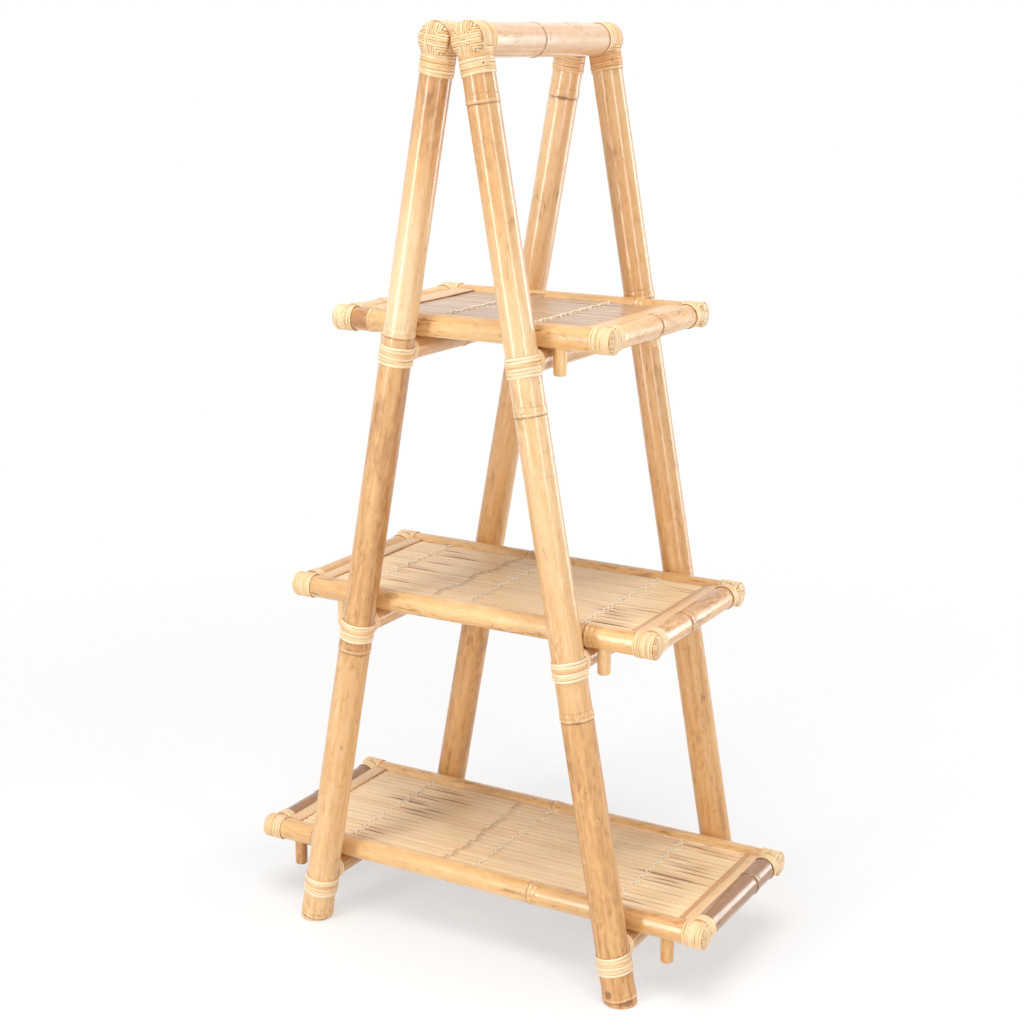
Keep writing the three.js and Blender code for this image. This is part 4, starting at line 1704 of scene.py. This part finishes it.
    def _grooves(self, along: np.ndarray) -> list[np.ndarray]:
        """How wide the grooves beside the slats are: the stitches force the slats apart.

        Args:
            along: places along the slats.

        Returns:
            A width at each place, for each groove from the front to the back.
        """
        tray, grooves = self.tray, []
        for _ in range(tray.slats + 1):
            width = np.full_like(along, self.gap)
            for place in tray.stitches:
                away = along - place
                width += self.bench.random.uniform(0.1, self.gap_wide) * bell(away, self.gap_reach)
                width += self.hole * bell(away, self.hole_reach)
            grooves.append(width)
        if tray.name == "lower":
            grooves[tray.slats - 3] += self.slack_gap * bell(along - self.slack_place, self.slack_reach)
        return grooves

    def slats(self) -> None:
        """Builds the mat of slats."""
        tray = self.tray
        form = Form()
        reach = self.end_place - self.seat - self.sizes.corner_wall - 0.6
        places = [np.linspace(-reach, reach, int(2 * reach / self.row_spacing))]
        places += [place + np.arange(*self.hole_rows) for place in tray.stitches]
        along = np.unique(np.concatenate(places))
        groove = self._grooves(along)
        node = tray.slat_node
        for index in range(tray.slats):
            front = -self.mat_side + index * self.pitch + groove[index] / 2
            back = -self.mat_side + (index + 1) * self.pitch - groove[index + 1] / 2
            stray = self.bench.random.uniform(-self.node_stray, self.node_stray)
            node += self.node_pull * (tray.slat_node - node) + stray
            self._slat(form, along, front, back, node)
        name = self.prefix + "mat"
        finish = Finish.UPPER_SLAT if tray.name == "upper" else Finish.SLAT
        self.bench.place(form, name, finish, self.body, [name], "slat_bamboo")

    def _slat(self, form: Form, along: np.ndarray, front: np.ndarray, back: np.ndarray, node: float) -> None:
        """Adds one slat between two wavy edges.

        Args:
            form: the form that takes it.
            along: places along the slat.
            front: its front edge at those places.
            back: its back edge there.
            node: where its node line crosses it.
        """
        random = self.bench.random
        angle = np.linspace(0, math.pi, 9)
        side = np.sign(np.cos(angle)) * np.abs(np.cos(angle)) ** self.slat_squareness
        # rim is 1 on the slat's sides and underside, where its finish paints shade.
        rim = np.append(np.abs(side) ** 4, [1, 1])[::-1]
        side = np.append(side, [-0.94, 0.94])[::-1]
        rise = self.slat_edge * np.append(np.abs(np.sin(angle)) ** self.slat_squareness, [-2.2, -2.2])
        rise = (rise + np.append(np.sin(angle) * self.slat_crown, [0, 0]))[::-1]
        away = along - node
        sag = random.uniform(-0.35, 0.1)
        lift = sag + 0.2 * np.sin(along / 60 + random.uniform(0, 6))
        lift += self.node_rise * bell(away, self.node_reach)
        middle, width = (front + back) / 2, (back - front) / 2
        height = self.top - self.slat_crown - self.slat_edge + lift[:, None] + rise
        height = np.maximum(height, self.top - self.sizes.slat_thickness + 0.2)
        across = middle[:, None] - width[:, None] * side
        points = np.stack(np.broadcast_arrays(along[:, None], across, height), -1)
        grain = points[..., [1, 2, 0]] + self.bench.shift()
        tone = self.tray.tone + random.uniform(-0.22, 0.2)
        gloss = 0.9 if self.tray.name == "upper" else 0.3
        stain_and_gap_shade = self._gap_shades(along)[:, None]
        form.add(Patch(points, grain, tone, rim, gloss, away[:, None], stain_and_gap_shade), self.at)

    def _gap_shades(self, along: np.ndarray) -> np.ndarray:
        """How strong the painted gap shade along a slat is: most beside the outer stitches.

        Args:
            along: places along the slat.

        Returns:
            A strength at each place.
        """
        random = self.bench.random
        stain_and_gap_shade = np.zeros_like(along)
        for place in (self.tray.stitches[0], self.tray.stitches[-1]):
            centre = place + random.uniform(5, 75)
            strength = random.uniform(0.0, 1.2) * self.tray.stain_and_gap_shade
            stain_and_gap_shade += strength * bell(along - centre, self.gap_shade_reach * random.uniform(0.6, 1.4))
        return stain_and_gap_shade

    def _lay(
        self, form: Form, strand: Strand, place: float, reach: float, height: float, up: Vector, rows: int
    ) -> None:
        """Lays a straight strip across the tray.

        Args:
            form: the form that takes it.
            strand: the strip.
            place: where it lies along the tray.
            reach: how far it goes to either side.
            height: where its flat face lies.
            up: which way its round face looks.
            rows: how many rows of points it has.
        """
        run = np.linspace(-reach, reach, rows)
        line = np.stack(np.broadcast_arrays(place, run, height), -1)
        form.add(strand.patch(line, np.array(up), False, self.bench), self.at)

    def bearers(self) -> None:
        """Builds the split canes under the slats."""
        sizes, form = self.sizes, Form()
        height = self.top - sizes.slat_thickness + 1 - sizes.bearer_height + 6.4
        strand = Strand(sizes.bearer_width, self.bearer_strand, 0.6, gloss=0.4, fullness=2.2)
        for place in self.tray.stitches:
            self._lay(form, strand, place, sizes.rail - 1.5 - self.rail_side, height, -Z, 24)
        self.bench.place(form, self.prefix + "bearers", Finish.BATTEN, self.body, [], "slat_bamboo")

    def battens(self) -> None:
        """Builds the strips over the slats' ends, with a narrow low edging inside the right-hand one, its
        dark tone a painted shadow.
        """
        sizes, bench = self.sizes, self.bench
        form, nails = Form(), Form()
        reach = self.rail_side - sizes.rail + 2.2
        outer = self.end_place - chord(self.seat, self.top + self.strip_height)
        inner = self.end_place - sizes.rail / 2 - self.tray.strip_width
        for side in Side:
            edge = inner + (self.edging if side is Side.RIGHT else 0.0)
            parts = [(edge, outer, self.strip_height, 0.4)]
            if side is Side.RIGHT:
                # The edging's dark tone is a painted shadow beside the strip.
                parts.append((inner, edge, self.strip_height * 0.6, 0.95))
            for low, high, height, tone in parts:
                strand = Strand(high - low, height, tone, gloss=0.5, fullness=3.0)
                place = side.value * (low + high) / 2
                self._lay(form, strand, place, side.value * reach, self.top + 0.1, Z, 40)
            for share in self.nail_shares:
                spot = Vector((side.value * (edge + outer) / 2, share * reach, self.top + self.strip_height))
                nails.add(nail(self.nail_radius, bench), self.at @ Matrix.Translation(spot))
        bench.place(form, self.prefix + "end_strips", Finish.BATTEN, self.body, [], "slat_bamboo")
        bench.place(nails, self.prefix + "strip_nails", Finish.NAIL, self.body)

    def stitches(self) -> None:
        """Builds the lacing over the slats along each line of stitches."""
        tray, bench, form = self.tray, self.bench, Form()
        share = np.linspace(0, tray.slats, tray.slats * self.thread_steps + 1)
        over = np.abs(np.sin(math.pi * share)) ** 0.5
        zigzag = self.stitch_reach * np.cos(math.pi * share)
        across = -self.mat_side + share * self.pitch
        for place in tray.stitches:
            wobble = 0.5 * np.sin(share * 1.7 + place)
            for mirror, radius in ((1, self.thread_radius), (-1, self.thread_radius * 0.6)):
                height = self.top - 1.4 + over * (1.6 + radius)
                line = np.stack([place + mirror * zigzag + wobble, across, height], -1)
                form.add(thread(line, radius, bench.random.uniform(-0.3, 0.0), bench), self.at)
        bench.place(form, self.prefix + "stitches", Finish.THREAD, self.body, [], "woven_cane")


# ---------------------------------------------------------------- studio
@dataclass
class Softbox:
    """A large soft lamp that looks at the stand, in degrees and metres."""

    name: str
    turn: float
    distance: float
    height: float
    width: float
    tall: float
    strength: float

    def build(self, aim: Vector) -> None:
        """Hangs the lamp.

        Args:
            aim: the point that it faces.
        """
        lamp = bpy.data.lights.new(self.name, "AREA")
        lamp.shape = "RECTANGLE"
        lamp.size = self.width
        lamp.size_y = self.tall
        lamp.energy = self.strength * self.width * self.tall * math.pi
        stand = bpy.data.objects.new(self.name, lamp)
        angle = math.radians(self.turn)
        place = Vector((math.sin(angle), -math.cos(angle), 0)) * self.distance
        stand.location = Vector((place.x, place.y, self.height))
        away = stand.location - aim
        stand.rotation_euler = away.to_track_quat("Z", "Y").to_euler()
        bpy.context.scene.collection.objects.link(stand)


@dataclass
class Studio:
    """The floor, the soft light and the camera at the photograph's view."""

    camera_place: Vector = field(default_factory=lambda: Vector((1.3449, -2.3645, 1.3664)))
    yaw: float = 29.901
    pitch: float = 14.556
    roll: float = 0.152
    lens: float = 64.49
    sensor: float = 36.0
    floor_half: float = 30.0
    floor_drop: float = 0.0004
    aim_height: float = 0.7
    ambient: float = 0.25
    softboxes: tuple[Softbox, ...] = (
        Softbox("left_softbox", turn=-18.0, distance=3.2, height=1.4, width=0.6, tall=2.6, strength=9.5),
        Softbox("right_softbox", turn=60.0, distance=3.2, height=1.4, width=0.32, tall=2.6, strength=9.5),
        Softbox("rim_softbox", turn=142.0, distance=3.2, height=1.2, width=0.6, tall=2.4, strength=8.0),
        Softbox("top_softbox", turn=10.0, distance=1.2, height=6.0, width=4.0, tall=4.0, strength=5.6),
    )

    def build(self) -> None:
        """Builds the studio."""
        self.make_camera()
        self.make_floor()
        self.make_world()
        for box in self.softboxes:
            box.build(Z * self.aim_height)
        bpy.context.scene.view_settings.view_transform = "Standard"

    def make_camera(self) -> None:
        """Sets the camera up."""
        data = bpy.data.cameras.new("camera")
        data.lens = self.lens
        data.sensor_width = self.sensor
        data.clip_end = 100.0
        camera = bpy.data.objects.new("camera", data)
        turn = (
            Matrix.Rotation(math.radians(self.yaw), 4, "Z")
            @ Matrix.Rotation(math.radians(90 - self.pitch), 4, "X")
            @ Matrix.Rotation(math.radians(self.roll), 4, "Z")
        )
        camera.matrix_world = Matrix.Translation(self.camera_place) @ turn
        bpy.context.scene.collection.objects.link(camera)
        bpy.context.scene.camera = camera

    def make_floor(self) -> None:
        """Lays the floor just under the feet."""
        mesh = bpy.data.meshes.new("floor")
        half, low = self.floor_half, -self.floor_drop
        corners = [(-half, -half, low), (half, -half, low), (half, half, low), (-half, half, low)]
        mesh.from_pydata(corners, [], [(0, 1, 2, 3)])
        floor = bpy.data.objects.new("floor", mesh)
        floor.data.materials.append(FloorFinish("floor_paint").dress())
        bpy.context.scene.collection.objects.link(floor)

    def make_world(self) -> None:
        """Makes the surroundings white to the eye and a soft light to the stand."""
        world = bpy.data.worlds.new("studio")
        world.use_nodes = True
        bpy.context.scene.world = world
        sky = WorldDress(world)
        strength = self.ambient + seen_rays(sky) * (1.0 - self.ambient)
        light = sky.node("ShaderNodeBackground", {}, {"Color": (1, 1, 1, 1), "Strength": strength})
        out = sky.tree.nodes.new("ShaderNodeOutputWorld")
        sky.tree.links.new(light.socket, out.inputs["Surface"])


class WorldDress(Dress):
    """The shader of the surroundings."""

    def __init__(self, world: bpy.types.World) -> None:
        """Starts with an empty world shader.

        Args:
            world: the surroundings.
        """
        self.tree = world.node_tree
        self.tree.nodes.clear()


def main() -> None:
    """Builds the stand and its studio."""
    logging.basicConfig(level=logging.INFO, format="%(name)s: %(message)s")
    bench = Bench()
    for side in Side:
        LadderFrame(side, bench).build()
    HingeTies(bench).build()
    for sizes in TRAYS:
        Tray(sizes, bench).build()
    Studio().build()


if __name__ == "__main__":
    main()
